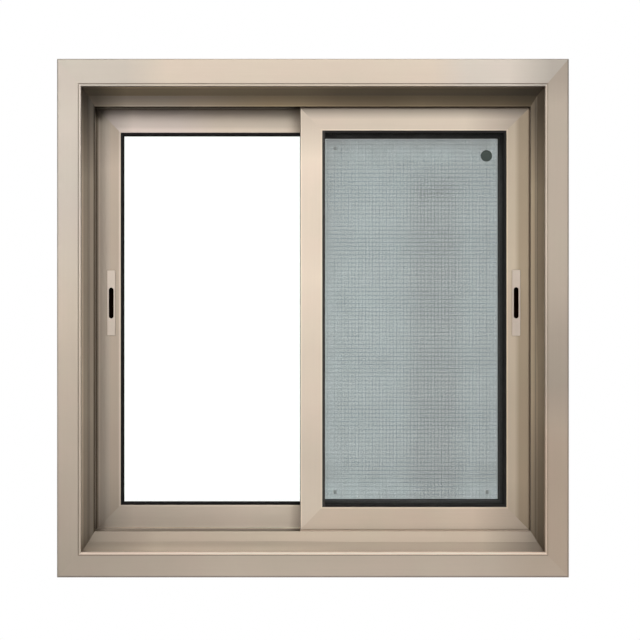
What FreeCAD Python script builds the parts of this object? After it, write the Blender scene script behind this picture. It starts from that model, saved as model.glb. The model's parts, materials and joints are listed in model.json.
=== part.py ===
import FreeCAD, Part
import math
import os

# Horizontal sliding window with a wide wall casing, three tracks, two glazed sashes and a screen sash.
# Millimetres. X runs right and Y outdoors as seen from the room, Z up.
# The wall plane is Y = 0. The origin is in the middle of the sill casing's back flange, on the wall.

# Overall size
WINDOW_WIDTH = 1200.0
WINDOW_HEIGHT = 1216.0

# Casing: a mitred hollow trim whose back flange lies on the wall
CASING_DEPTH = 14.0
CASING_WALL = 1.6
CASING_FACE_JAMB = 56.0
CASING_FACE_HEAD = 64.5
CASING_FACE_SILL = 59.0
CASING_EDGE_RADIUS = 3.0
CASING_BACK_FLANGE = 14.0
CASING_LIP_WIDTH = 5.2
CASING_LIP_RISE = 0.7
CASING_LIP_RADIUS = 1.2
CASING_GROOVE_RADIUS = 0.6
CASING_GROOVE_WIDTH = 1.8
CASING_GROOVE_DEPTH = 1.3
CASING_LEG_INSET = 6.0
CASING_OVERLAP = 28.0

# Main frame extrusions
FRAME_WALL = 2.0
SPLAY_BACK = 14.0
BAND_BACK = 22.0
FASCIA_LIP = 3.0
JAMB_SPLAY = 14.0
JAMB_BAND = 14.0
HEAD_SPLAY = 18.5
HEAD_BAND = 24.0
SILL_SPLAY = 20.5
SILL_BAND = 24.0
CHANNEL_DEPTH = 18.0
HEAD_LIFT = 6.0
FRONT_CHAMBER_SHARE = 0.55
RIB_THICKNESS = 3.0
FRAME_EDGE_RADIUS = 0.9

# Depths of the sashes and the gaps between them, from the room outwards
SASH_DEPTH = 28.0
SCREEN_DEPTH = 16.0
FASCIA_TO_SASH = 6.0
SASH_TO_SASH = 12.5
SASH_TO_SCREEN = 12.5
SCREEN_TO_BACK = 4.0

# Running and guide rails
RAIL_THICKNESS = 2.4
RAIL_HEIGHT = 8.0
RAIL_CAP_WALL = 0.8
RAIL_CAP_HEIGHT = 5.5
RAIL_CAP_CLEARANCE = 0.1
RAIL_CAP_RADIUS = 1.2
GUIDE_HEIGHT = 19.0

# Sash extrusions
SHOULDER_GAP = 2.0
SASH_WALL = 1.8
SASH_EDGE_RADIUS = 2.0
LOCK_STILE_FACE = 54.0
MEETING_STILE_FACE = 52.5
SASH_TOP_FACE = 54.0
SASH_BOTTOM_FACE = 54.0
MEETING_OVERLAP = 29.5
GLAZING_LIP = 2.2
GLAZING_POCKET = 13.4
LEG_LENGTH = 13.0
LEG_INSET = 3.0
TONGUE_LENGTH = 10.0
HOOK_LEG_OFFSET = 6.0
HOOK_REACH = 8.5
HOOK_LIP = 8.0
HOOK_WALL = 1.6

# Glazing
GLASS_COVER = 12.0
PANE_THICKNESS = 5.0
GASKET_SHOW = 6.5
GASKET_THICKNESS = 2.4
GASKET_NOSE = 1.0
GASKET_TAPER = 2.0
GASKET_EDGE = 0.6
SPACER_WIDTH = 8.0

# Flush locks
LOCK_PLATE_WIDTH = 20.0
LOCK_PLATE_HEIGHT = 157.0
LOCK_PLATE_THICKNESS = 2.0
LOCK_PLATE_RADIUS = 2.5
LOCK_PLATE_CHAMFER = 0.7
LOCK_SLOT_WIDTH = 11.6
LOCK_SLOT_HEIGHT = 74.0
LOCK_RISE = 38.0
LOCK_CUP_DEPTH = 13.0
LOCK_CUP_WALL = 1.5
LOCK_CUP_CLEARANCE = 0.3

# Rollers and their carriages
WHEEL_RADIUS = 9.0
WHEEL_FLANGE = 1.5
WHEEL_WIDTH = 8.0
WHEEL_GROOVE = 5.0
AXLE_RADIUS = 2.0
AXLE_CLEARANCE = 0.1
CARRIAGE_WHEEL_GAP = 0.5
CARRIAGE_LENGTH = 48.0
CARRIAGE_FROM_EDGE = 95.0
CARRIAGE_CLEARANCE = 0.3
WHEEL_CLEARANCE = 1.0
WHEEL_SEAT = 0.3

# Pile weather strips
PILE_WIDTH = 5.0
PILE_FROM_TIP = 2.0
PILE_TIP_CLEARANCE = 0.3
PILE_TIP_WIDTH = 3.0

# Screen sash
SCREEN_FACE = 63.0
SCREEN_INNER_STILE_FACE = 52.0
SCREEN_BEAD_WIDTH = 18.0
SCREEN_BEAD_HEIGHT = 5.0
SCREEN_BEAD_STEP = 4.0
SCREEN_BEAD_EDGE = 1.6
SCREEN_BEAD_RADIUS = 1.0
SCREEN_EDGE_RADIUS = 1.5
SCREEN_FLANGE = 2.0
MESH_THICKNESS = 1.8
MESH_COVER = 12.0
SCREEN_LEG_INSET = 2.0

# Drainage and fixing
WEEP_COUNT = 3
WEEP_WIDTH = 32.0
WEEP_HEIGHT = 6.0
WEEP_SPACING = 380.0
WEEP_COVER_MARGIN = 5.5
WEEP_COVER_RISE = 4.0
WEEP_COVER_WALL = 1.2
FIXING_RADIUS = 4.0
FIXING_FROM_END = 180.0

# Small working clearance between pieces that are held together
SEAT = 0.2

# How far a mitre cut reaches past the corner, as a share of the member's width
MITRE_REACH = 0.9

# How far a cut runs past the face that it opens, and the distance under which two points are one
CUT_PAST = 1.0
SAME_POINT = 1e-6

OUT = "parts"

TURN = {"left": 0.0, "bottom": -90.0, "right": 180.0, "top": 90.0}


class Rect:
    """An upright rectangle in the window's plane."""

    def __init__(self, left, right, bottom, top):
        self.left = left
        self.right = right
        self.bottom = bottom
        self.top = top

    def inset(self, left, right, bottom, top):
        """The rectangle with each side moved inwards."""
        return Rect(self.left + left, self.right - right, self.bottom + bottom, self.top - top)

    def inset_all(self, amount):
        """The rectangle with all four sides moved inwards by one amount."""
        return self.inset(amount, amount, amount, amount)

    def middle(self):
        """The centre as (x, z)."""
        return (self.left + self.right) / 2, (self.bottom + self.top) / 2

    def corner(self, name):
        """One corner as (x, z), named by its two sides."""
        x = self.left if "left" in name else self.right
        z = self.bottom if "bottom" in name else self.top
        return x, z

    def slab(self, front, back):
        """A plain slab of this outline between two depths."""
        return box(self.left, self.right, front, back, self.bottom, self.top)


def box(x0, x1, y0, y1, z0, z1):
    """A box between two corners."""
    return Part.makeBox(x1 - x0, y1 - y0, z1 - z0, FreeCAD.Vector(x0, y0, z0))


def outline(points):
    """A closed wire through (u, y) points; a third number rounds that corner."""
    count = len(points)
    nodes = [FreeCAD.Vector(p[0], p[1], 0) for p in points]
    starts, ends, arcs = [], [], []
    for i, point in enumerate(points):
        radius = point[2] if len(point) > 2 else 0.0
        corner = nodes[i]
        if radius <= 0:
            starts.append(corner)
            ends.append(corner)
            arcs.append(None)
            continue
        to_last = nodes[i - 1] - corner
        to_next = nodes[(i + 1) % count] - corner
        half = to_last.getAngle(to_next) / 2
        room = min(to_last.Length, to_next.Length) / 2
        reach = min(radius / math.tan(half), room)
        radius = reach * math.tan(half)
        to_last.normalize()
        to_next.normalize()
        inward = (to_last + to_next).normalize()
        starts.append(corner + to_last * reach)
        ends.append(corner + to_next * reach)
        arcs.append(corner + inward * (radius / math.sin(half) - radius))
    edges = []
    for i in range(count):
        if arcs[i] is not None:
            edges.append(Part.Arc(starts[i], arcs[i], ends[i]).toShape())
        following = starts[(i + 1) % count]
        if (following - ends[i]).Length > SAME_POINT:
            edges.append(Part.LineSegment(ends[i], following).toShape())
    return Part.Wire(edges)


def section(points, chambers=()):
    """A flat section with closed chambers, for an extrusion."""
    wires = [outline(points)] + [outline(chamber) for chamber in chambers]
    return Part.makeFace(wires, "Part::FaceMakerBullseye")


def sharp(points):
    """The same corners without their rounding."""
    return [tuple(p[:2]) for p in points]


def shrunk(points, wall):
    """The points of a straight-sided outline moved inwards by a wall."""
    area = sum(points[i - 1][0] * points[i][1] - points[i][0] * points[i - 1][1] for i in range(len(points)))
    turn = 1.0 if area > 0 else -1.0
    lines = []
    for i, (x, y) in enumerate(points):
        next_x, next_y = points[(i + 1) % len(points)]
        length = math.hypot(next_x - x, next_y - y)
        along = ((next_x - x) / length, (next_y - y) / length)
        lines.append((x - turn * wall * along[1], y + turn * wall * along[0], along))
    moved = []
    for i in range(len(points)):
        x1, y1, (a1, b1) = lines[i - 1]
        x2, y2, (a2, b2) = lines[i]
        step = ((x2 - x1) * b2 - (y2 - y1) * a2) / (a1 * b2 - b1 * a2)
        moved.append((x1 + step * a1, y1 + step * b1))
    return moved


def run_along(face, rect, side):
    """Extrude a section along one side of a rectangle; u counts inwards from that side."""
    x, z = rect.middle()
    upright = side in ("left", "right")
    length = 2 * (rect.top - z) if upright else 2 * (rect.right - x)
    reach = LEG_LENGTH + TONGUE_LENGTH
    bar = face.extrude(FreeCAD.Vector(0, 0, length + 2 * reach))
    bar.translate(FreeCAD.Vector(0, 0, -length / 2 - reach))
    bar.rotate(FreeCAD.Vector(), FreeCAD.Vector(0, 1, 0), TURN[side])
    place = {"left": (rect.left, z), "right": (rect.right, z),
             "bottom": (x, rect.bottom), "top": (x, rect.top)}
    place_x, place_z = place[side]
    bar.translate(FreeCAD.Vector(place_x, 0, place_z))
    return bar


def trimmed_run(face, rect, side):
    """Extrude a section along one side, cut square at the rectangle's two ends."""
    x, z = rect.middle()
    bar = run_along(face, rect, side)
    bounds = bar.BoundBox
    if side in ("left", "right"):
        keep = box(bounds.XMin, bounds.XMax, bounds.YMin, bounds.YMax, rect.bottom, rect.top)
    else:
        keep = box(rect.left, rect.right, bounds.YMin, bounds.YMax, bounds.ZMin, bounds.ZMax)
    return bar.common(keep)


def mitre_block(rect, inner, side, front, back):
    """The wedge-ended region that one mitred member may fill."""
    ends = {"left": ("left bottom", "left top"), "right": ("right bottom", "right top"),
            "bottom": ("left bottom", "right bottom"), "top": ("left top", "right top")}
    ring = []
    for name, outward_first in zip(ends[side], (True, False)):
        (ox, oz), (ix, iz) = rect.corner(name), inner.corner(name)
        beyond = (ox + MITRE_REACH * (ox - ix), oz + MITRE_REACH * (oz - iz))
        pair = [beyond, (ix, iz)]
        ring += pair if outward_first else pair[::-1]
    wire = Part.makePolygon([FreeCAD.Vector(px, front, pz) for px, pz in ring + ring[:1]])
    return Part.Face(wire).extrude(FreeCAD.Vector(0, back - front, 0))


def mitred_member(face, rect, widths, side):
    """Extrude a section along one side and cut both ends on the corner mitres."""
    bar = run_along(face, rect, side)
    bounds = bar.BoundBox
    block = mitre_block(rect, rect.inset(*widths), side, bounds.YMin - CUT_PAST, bounds.YMax + CUT_PAST)
    return bar.common(block)


def mitred_ring(face, rect, width):
    """Four mitred members of one section fused into a closed ring."""
    widths = (width,) * 4
    members = [mitred_member(face, rect, widths, side) for side in TURN]
    return members[0].multiFuse(members[1:]).removeSplitter()


def moved_back(points, depth):
    """The points of a section with its depths counted from another plane."""
    return [(p[0], p[1] + depth) + tuple(p[2:]) for p in points]


def upright_slab(x, z, width, height, radius, front, back):
    """A slab with rounded corners between two depths, centred on (x, z)."""
    half_w, half_h = width / 2, height / 2
    corners = ((-half_w, -half_h), (half_w, -half_h), (half_w, half_h), (-half_w, half_h))
    face = section([(x + u, z + w, radius) for u, w in corners])
    body = face.extrude(FreeCAD.Vector(0, 0, front - back))
    body.rotate(FreeCAD.Vector(), FreeCAD.Vector(1, 0, 0), 90)
    body.translate(FreeCAD.Vector(0, front, 0))
    return body


def leg_region(rect, meeting_side, front, back):
    """The room between two depths that a sash may fill, with legs on every side but the meeting side."""
    reach = -2 * LEG_LENGTH
    left = 0.0 if meeting_side == "left" else reach
    right = 0.0 if meeting_side == "right" else reach
    return rect.inset(left, right, reach, reach).slab(front, back)


def solid_of(shape):
    """The one solid inside a result."""
    solids = shape.Solids
    if len(solids) != 1:
        raise ValueError("expected one solid, found %d" % len(solids))
    return solids[0]


def write(name, *shapes):
    """Export the solids of one node."""
    solids = [solid for shape in shapes for solid in shape.Solids]
    for solid in solids:
        if not solid.isValid() or solid.Volume <= 0:
            raise ValueError("bad solid in " + name)
    shape = solids[0] if len(solids) == 1 else Part.makeCompound(solids)
    shape.exportStep(os.path.join(OUT, name + ".step"))
    print("%-28s %2d solids %10.1f mm3" % (name, len(solids), sum(s.Volume for s in solids)))


# Places worked out from the sizes

BOTTOM = -CASING_BACK_FLANGE / 2
CASING_RECT = Rect(-WINDOW_WIDTH / 2, WINDOW_WIDTH / 2, BOTTOM, BOTTOM + WINDOW_HEIGHT)
FRAME_RECT = CASING_RECT.inset_all(CASING_OVERLAP)

LIP_BACK = BAND_BACK + FASCIA_LIP
FRONT_SASH_Y = LIP_BACK + FASCIA_TO_SASH
REAR_SASH_Y = FRONT_SASH_Y + SASH_DEPTH + SASH_TO_SASH
SCREEN_Y = REAR_SASH_Y + SASH_DEPTH + SASH_TO_SCREEN
BACK_LIP_Y = SCREEN_Y + SCREEN_DEPTH + SCREEN_TO_BACK
FRAME_BACK = BACK_LIP_Y + FASCIA_LIP

RIB_CENTRES = (REAR_SASH_Y - SASH_TO_SASH / 2, SCREEN_Y - SASH_TO_SCREEN / 2)
TRACK_CENTRES = (FRONT_SASH_Y + SASH_DEPTH / 2, REAR_SASH_Y + SASH_DEPTH / 2, SCREEN_Y + SCREEN_DEPTH / 2)

JAMB_EDGE = CASING_FACE_JAMB + JAMB_SPLAY + JAMB_BAND
HEAD_EDGE = CASING_FACE_HEAD + HEAD_SPLAY + HEAD_BAND
SILL_EDGE = CASING_FACE_SILL + SILL_SPLAY + SILL_BAND
DAYLIGHT = CASING_RECT.inset(JAMB_EDGE, JAMB_EDGE, SILL_EDGE, HEAD_EDGE)
SHOULDERS = DAYLIGHT.inset_all(SHOULDER_GAP)

FRONT_RECT = Rect(-MEETING_OVERLAP, SHOULDERS.right, SHOULDERS.bottom, SHOULDERS.top)
REAR_RECT = Rect(SHOULDERS.left, MEETING_OVERLAP, SHOULDERS.bottom, SHOULDERS.top)
SCREEN_RECT = Rect(-MEETING_OVERLAP, SHOULDERS.right, SHOULDERS.bottom, SHOULDERS.top)

RAIL_TOP = DAYLIGHT.bottom - CHANNEL_DEPTH + RAIL_HEIGHT + RAIL_CAP_WALL
LOCK_Z = (SHOULDERS.bottom + SHOULDERS.top) / 2 + LOCK_RISE


def casing_section(face_width):
    """The casing: outer web, face, groove, lip, inner return, clip leg and back flange."""
    face = -(CASING_DEPTH - CASING_LIP_RISE)
    lip = -CASING_DEPTH
    wall = CASING_WALL
    leg = CASING_OVERLAP + CASING_LEG_INSET
    groove_in = face_width - CASING_LIP_WIDTH
    groove_out = groove_in - CASING_GROOVE_WIDTH
    inside = face + CASING_GROOVE_DEPTH + wall
    return section([
        (0, 0), (0, face, CASING_EDGE_RADIUS),
        (groove_out, face), (groove_out, face + CASING_GROOVE_DEPTH),
        (groove_in, face + CASING_GROOVE_DEPTH), (groove_in, lip, CASING_GROOVE_RADIUS),
        (face_width, lip, CASING_LIP_RADIUS), (face_width, -SEAT), (face_width - wall, -SEAT),
        (face_width - wall, inside), (leg + wall, inside), (leg + wall, -SEAT), (leg, -SEAT),
        (leg, inside), (wall, inside), (wall, -wall), (CASING_BACK_FLANGE, -wall), (CASING_BACK_FLANGE, 0)])


def build_casing():
    """The four mitred casing lengths."""
    widths = (CASING_FACE_JAMB, CASING_FACE_JAMB, CASING_FACE_SILL, CASING_FACE_HEAD)
    names = {"left": "casing_left", "right": "casing_right", "bottom": "casing_sill", "top": "casing_head"}
    for side, width in zip(("left", "right", "bottom", "top"), widths):
        write(names[side], solid_of(mitred_member(casing_section(width), CASING_RECT, widths, side)))


def frame_points(casing_face, splay, band, extra_depth, rail_height):
    """The outer outline of a frame extrusion, u counted from the frame's outer web."""
    nose = casing_face - CASING_OVERLAP
    knee = nose + splay
    edge = knee + band
    floor = edge - CHANNEL_DEPTH - extra_depth
    soft = FRAME_EDGE_RADIUS
    points = [(0, 0), (nose, 0), (knee, SPLAY_BACK), (edge, BAND_BACK, soft), (edge, LIP_BACK, soft),
              (floor, LIP_BACK)]
    for track, centre in enumerate(TRACK_CENTRES):
        if rail_height > 0:
            half_rail = RAIL_THICKNESS / 2
            points += [(floor, centre - half_rail), (floor + rail_height, centre - half_rail),
                       (floor + rail_height, centre + half_rail), (floor, centre + half_rail)]
        if track < len(RIB_CENTRES):
            rib = RIB_CENTRES[track]
            points += [(floor, rib - RIB_THICKNESS / 2), (edge, rib - RIB_THICKNESS / 2),
                       (edge, rib + RIB_THICKNESS / 2), (floor, rib + RIB_THICKNESS / 2)]
    points += [(floor, BACK_LIP_Y), (edge, BACK_LIP_Y, soft), (edge, FRAME_BACK, soft), (0, FRAME_BACK)]
    return points


def frame_chambers(casing_face, splay, band, extra_depth):
    """The closed chambers of a frame extrusion, one behind the splay and one behind each further track."""
    nose = casing_face - CASING_OVERLAP
    knee = nose + splay
    edge = knee + band
    floor = edge - CHANNEL_DEPTH - extra_depth
    half = FRAME_WALL / 2
    tip = knee + FRONT_CHAMBER_SHARE * band
    tip_y = SPLAY_BACK + FRONT_CHAMBER_SHARE * (BAND_BACK - SPLAY_BACK)
    first, second = RIB_CENTRES
    rooms = [
        [(0, 0), (nose, 0), (knee, SPLAY_BACK), (tip, tip_y), (tip, LIP_BACK), (floor, LIP_BACK),
         (floor, first + half), (0, first + half)],
        [(0, first - half), (floor, first - half), (floor, second + half), (0, second + half)],
        [(0, second - half), (floor, second - half), (floor, FRAME_BACK), (0, FRAME_BACK)]]
    return [shrunk(room, FRAME_WALL) for room in rooms]


def frame_bar(side, casing_face, splay, band, extra_depth, rail_height):
    """One frame extrusion at full length, and the filled shape that its neighbours are coped to."""
    points = frame_points(casing_face, splay, band, extra_depth, rail_height)
    chambers = frame_chambers(casing_face, splay, band, extra_depth)
    bar = trimmed_run(section(points, chambers), FRAME_RECT, side)
    envelope = trimmed_run(section(sharp(points)), FRAME_RECT, side)
    return bar, envelope


def fixing_holes(side):
    """Two screw holes through both webs of a jamb, in the track that no sash fills on its side."""
    track = TRACK_CENTRES[0] if side == "left" else TRACK_CENTRES[1]
    start = FRAME_RECT.left - CUT_PAST if side == "left" else DAYLIGHT.right
    length = DAYLIGHT.left - FRAME_RECT.left + CUT_PAST
    inward = FreeCAD.Vector(1, 0, 0)
    holes = [Part.makeCylinder(FIXING_RADIUS, length, FreeCAD.Vector(start, track, z), inward)
             for z in (FRAME_RECT.bottom + FIXING_FROM_END, FRAME_RECT.top - FIXING_FROM_END)]
    return Part.makeCompound(holes)


def weep_places():
    """The centres of the drain slots along the sill."""
    return [(i - (WEEP_COUNT - 1) / 2) * WEEP_SPACING for i in range(WEEP_COUNT)]


def build_frame():
    """Head and sill at full width, and two jambs coped between them."""
    head, head_shape = frame_bar("top", CASING_FACE_HEAD, HEAD_SPLAY, HEAD_BAND, HEAD_LIFT, GUIDE_HEIGHT)
    sill, sill_shape = frame_bar("bottom", CASING_FACE_SILL, SILL_SPLAY, SILL_BAND, 0.0, RAIL_HEIGHT)
    floor = DAYLIGHT.bottom - CHANNEL_DEPTH
    front, back = BACK_LIP_Y - CUT_PAST, FRAME_BACK + CUT_PAST
    weeps = [box(x - WEEP_WIDTH / 2, x + WEEP_WIDTH / 2, front, back, floor, floor + WEEP_HEIGHT)
             for x in weep_places()]
    write("frame_head", solid_of(head))
    write("frame_sill", solid_of(sill.cut(Part.makeCompound(weeps))))
    for side in ("left", "right"):
        jamb, _ = frame_bar(side, CASING_FACE_JAMB, JAMB_SPLAY, JAMB_BAND, 0.0, 0.0)
        coped = jamb.cut(head_shape).cut(sill_shape)
        coped = max(coped.Solids, key=lambda s: s.Volume)
        write("frame_jamb_" + side, solid_of(coped.cut(fixing_holes(side))))


def build_rail_caps():
    """A folded metal cap on each of the sill's running rails."""
    rail_top = RAIL_TOP - RAIL_CAP_WALL
    half = RAIL_THICKNESS / 2 + RAIL_CAP_CLEARANCE
    outer = half + RAIL_CAP_WALL
    low = RAIL_TOP - RAIL_CAP_HEIGHT
    base = FRAME_RECT.bottom
    length = Rect(DAYLIGHT.left - CHANNEL_DEPTH, DAYLIGHT.right + CHANNEL_DEPTH, base, FRAME_RECT.top)
    caps = []
    for centre in TRACK_CENTRES:
        face = section([(low - base, centre - outer), (RAIL_TOP - base, centre - outer, RAIL_CAP_RADIUS),
                        (RAIL_TOP - base, centre + outer, RAIL_CAP_RADIUS), (low - base, centre + outer),
                        (low - base, centre + half), (rail_top - base, centre + half),
                        (rail_top - base, centre - half), (low - base, centre - half)])
        caps.append(solid_of(trimmed_run(face, length, "bottom")))
    write("track_caps", *caps)


def build_weep_covers():
    """A hooded cover over each drain slot on the outdoor face of the sill."""
    floor = DAYLIGHT.bottom - CHANNEL_DEPTH
    half = WEEP_WIDTH / 2 + WEEP_COVER_MARGIN
    low, high = floor - WEEP_COVER_MARGIN, floor + WEEP_HEIGHT + WEEP_COVER_MARGIN
    face_y = FRAME_BACK + WEEP_COVER_RISE
    wall = WEEP_COVER_WALL
    covers = []
    for x in weep_places():
        hood = section([(FRAME_BACK, high), (face_y, high - WEEP_COVER_RISE), (face_y, low), (FRAME_BACK, low)])
        body = hood.extrude(FreeCAD.Vector(0, 0, 2 * half))
        body.rotate(FreeCAD.Vector(), FreeCAD.Vector(1, 1, 1), 120)
        body.translate(FreeCAD.Vector(x - half, 0, 0))
        hollow = box(x - half + wall, x + half - wall, FRAME_BACK - CUT_PAST, face_y - wall,
                     low - CUT_PAST, high - WEEP_COVER_RISE - wall)
        covers.append(solid_of(body.cut(hollow)))
    write("weep_covers", *covers)


def sash_points(face, depth, kind):
    """The outline of a glazed sash extrusion; u counts inwards from its shoulder."""
    soft = SASH_EDGE_RADIUS
    pocket = face - GLAZING_POCKET
    points = [(0, 0, soft), (face, 0, soft), (face, GLAZING_LIP), (pocket, GLAZING_LIP),
              (pocket, depth - GLAZING_LIP), (face, depth - GLAZING_LIP), (face, depth, soft)]
    if kind == "hook":
        leg = MEETING_OVERLAP - HOOK_LEG_OFFSET
        end = depth + HOOK_REACH
        points += [(leg + HOOK_WALL, depth), (leg + HOOK_WALL, end - HOOK_WALL),
                   (leg + HOOK_LIP, end - HOOK_WALL), (leg + HOOK_LIP, end), (leg, end), (leg, depth)]
    points += [(0, depth)]
    length = {"hook": 0.0, "tongue": TONGUE_LENGTH, "legs": LEG_LENGTH}[kind]
    if length > 0:
        near, far = LEG_INSET, depth - LEG_INSET
        points += [(0, far), (-length, far), (-length, far - SASH_WALL), (0, far - SASH_WALL),
                   (0, near + SASH_WALL), (-length, near + SASH_WALL), (-length, near), (0, near)]
    return points


def sash_chamber(face, depth):
    """The hollow inside a glazed sash extrusion."""
    pocket = face - GLAZING_POCKET
    wall = SASH_WALL
    return [(wall, wall), (pocket - wall, wall), (pocket - wall, depth - wall), (wall, depth - wall)]


def flipped(points, depth):
    """A section with its front and back changed over."""
    return [(p[0], depth - p[1]) + tuple(p[2:]) for p in points]


def wheel_places(rect):
    """The two wheel positions along a bottom rail."""
    return rect.left + CARRIAGE_FROM_EDGE, rect.right - CARRIAGE_FROM_EDGE


def wheel_gaps(rect, track):
    """Slots in the bottom web that leave room for the wheels."""
    half = WHEEL_RADIUS + WHEEL_FLANGE + WHEEL_CLEARANCE
    side = WHEEL_WIDTH / 2 + WHEEL_CLEARANCE
    low, high = rect.bottom - CUT_PAST, rect.bottom + SASH_WALL + CUT_PAST
    gaps = [box(x - half, x + half, track - side, track + side, low, high) for x in wheel_places(rect)]
    return Part.makeCompound(gaps)


def lock_centre(rect, lock_side):
    """The x of the lock, whose cup lies just inside the chamber wall nearest the glass."""
    from_glass = GLAZING_POCKET + SASH_WALL + LOCK_CUP_CLEARANCE + LOCK_CUP_WALL + LOCK_SLOT_WIDTH / 2
    from_shoulder = LOCK_STILE_FACE - from_glass
    return rect.left + from_shoulder if lock_side == "left" else rect.right - from_shoulder


def build_lock(name, rect, lock_side, face_y):
    """A thin plate on the stile's face, and a boxed finger cup behind its slot."""
    x = lock_centre(rect, lock_side)
    front, back = face_y - LOCK_PLATE_THICKNESS, face_y + LOCK_CUP_DEPTH
    plate = upright_slab(x, LOCK_Z, LOCK_PLATE_WIDTH, LOCK_PLATE_HEIGHT, LOCK_PLATE_RADIUS, front, face_y)
    rim = [edge for edge in plate.Edges if edge.BoundBox.YMax < front + LOCK_PLATE_CHAMFER]
    plate = plate.makeChamfer(LOCK_PLATE_CHAMFER, rim)
    slot = upright_slab(x, LOCK_Z, LOCK_SLOT_WIDTH, LOCK_SLOT_HEIGHT, LOCK_SLOT_WIDTH / 2,
                        front - CUT_PAST, back)
    write(name + "_lock_plate", solid_of(plate.cut(slot)))
    wall = 2 * LOCK_CUP_WALL
    cup = upright_slab(x, LOCK_Z, LOCK_SLOT_WIDTH + wall, LOCK_SLOT_HEIGHT + wall, 0.0,
                       face_y, back + LOCK_CUP_WALL)
    write(name + "_lock_cup", solid_of(cup.cut(slot)))


def lock_pocket(rect, lock_side, face_y):
    """The square-cornered hole in the stile that the finger cup sits in."""
    x = lock_centre(rect, lock_side)
    half_w = LOCK_SLOT_WIDTH / 2 + LOCK_CUP_WALL + SEAT
    half_h = LOCK_SLOT_HEIGHT / 2 + LOCK_CUP_WALL + SEAT
    return box(x - half_w, x + half_w, face_y - CUT_PAST, face_y + SASH_WALL + CUT_PAST,
               LOCK_Z - half_h, LOCK_Z + half_h)


def build_rollers(name, rect, track, depth, inset):
    """Two grooved wheels whose axles lie in open-topped slots of the carriages under the bottom rail."""
    axle_z = RAIL_TOP + WHEEL_SEAT + WHEEL_RADIUS
    half_width = depth / 2 - inset - SASH_WALL - CARRIAGE_CLEARANCE
    half, groove = WHEEL_WIDTH / 2, WHEEL_GROOVE / 2
    rim = WHEEL_RADIUS + WHEEL_FLANGE
    room = rim + WHEEL_CLEARANCE
    side = half + CARRIAGE_WHEEL_GAP
    slot = AXLE_RADIUS + AXLE_CLEARANCE
    low = RAIL_TOP + WHEEL_CLEARANCE
    profile = section([(0, -half_width), (AXLE_RADIUS, -half_width), (AXLE_RADIUS, -half), (rim, -half),
                       (WHEEL_RADIUS, -groove), (WHEEL_RADIUS, groove), (rim, half),
                       (AXLE_RADIUS, half), (AXLE_RADIUS, half_width), (0, half_width)])
    wheels, carriages = [], []
    for x in wheel_places(rect):
        wheel = profile.revolve(FreeCAD.Vector(), FreeCAD.Vector(0, 1, 0), 360)
        wheel.translate(FreeCAD.Vector(x, track, axle_z))
        wheels.append(wheel)
        block = box(x - CARRIAGE_LENGTH / 2, x + CARRIAGE_LENGTH / 2, track - half_width, track + half_width,
                    low, rect.bottom)
        well = box(x - room, x + room, track - side, track + side, low - CUT_PAST, rect.bottom + CUT_PAST)
        axle_slot = box(x - slot, x + slot, track - half_width - CUT_PAST, track + half_width + CUT_PAST,
                        axle_z - slot, rect.bottom + CUT_PAST)
        carriages.append(solid_of(block.cut(well).cut(axle_slot)))
    write(name + "_rollers", *wheels)
    write(name + "_carriages", *carriages)


def pile_strip(rect, widths, side, leg, near, far):
    """A pile strip between a leg and the rib that it brushes, narrowing to its tip."""
    middle = -leg + PILE_FROM_TIP + PILE_WIDTH / 2
    wide, thin = PILE_WIDTH / 2, PILE_TIP_WIDTH / 2
    face = section([(middle - wide, near), (middle + wide, near), (middle + thin, far), (middle - thin, far)])
    return solid_of(mitred_member(face, rect, widths, side))


def build_pile(name, rect, widths, lock_side, y, depth, inset, front_wall, back_wall):
    """Pile strips on both sides of the legs and the tongue."""
    meeting_side = "left" if lock_side == "right" else "right"
    keep = leg_region(rect, meeting_side, front_wall, back_wall)
    faces = ((y + inset, front_wall + PILE_TIP_CLEARANCE),
             (y + depth - inset, back_wall - PILE_TIP_CLEARANCE))
    legs = {"top": LEG_LENGTH, "bottom": LEG_LENGTH, lock_side: TONGUE_LENGTH}
    strips = [pile_strip(rect, widths, side, leg, near, far).common(keep)
              for side, leg in legs.items() for near, far in faces]
    write(name + "_pile", *strips)


def build_glazing(name, rect, widths, y):
    """An insulating unit of two panes and a spacer, held by a black gasket on each face."""
    opening = rect.inset(*widths)
    glass = opening.inset_all(-GLASS_COVER)
    front = y + GLAZING_LIP + GASKET_THICKNESS
    back = y + SASH_DEPTH - GLAZING_LIP - GASKET_THICKNESS
    write(name + "_glass", glass.slab(front, front + PANE_THICKNESS), glass.slab(back - PANE_THICKNESS, back))
    spacer = glass.slab(front + PANE_THICKNESS, back - PANE_THICKNESS)
    inside = glass.inset_all(SPACER_WIDTH).slab(front, back)
    write(name + "_spacer", solid_of(spacer.cut(inside)))
    cover, total = GLASS_COVER, GLASS_COVER + GASKET_SHOW
    lip, nose = GLAZING_LIP, GASKET_NOSE
    seat = lip + GASKET_THICKNESS
    profile = [(0, lip), (cover, lip), (cover, lip - nose), (total - GASKET_TAPER, lip - nose),
               (total, seat - GASKET_EDGE), (total, seat), (0, seat)]
    rings = [mitred_ring(section(moved_back(profile, y)), glass, total),
             mitred_ring(section(moved_back(flipped(profile, SASH_DEPTH), y)), glass, total)]
    write(name + "_gasket", *[solid_of(ring) for ring in rings])


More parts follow.
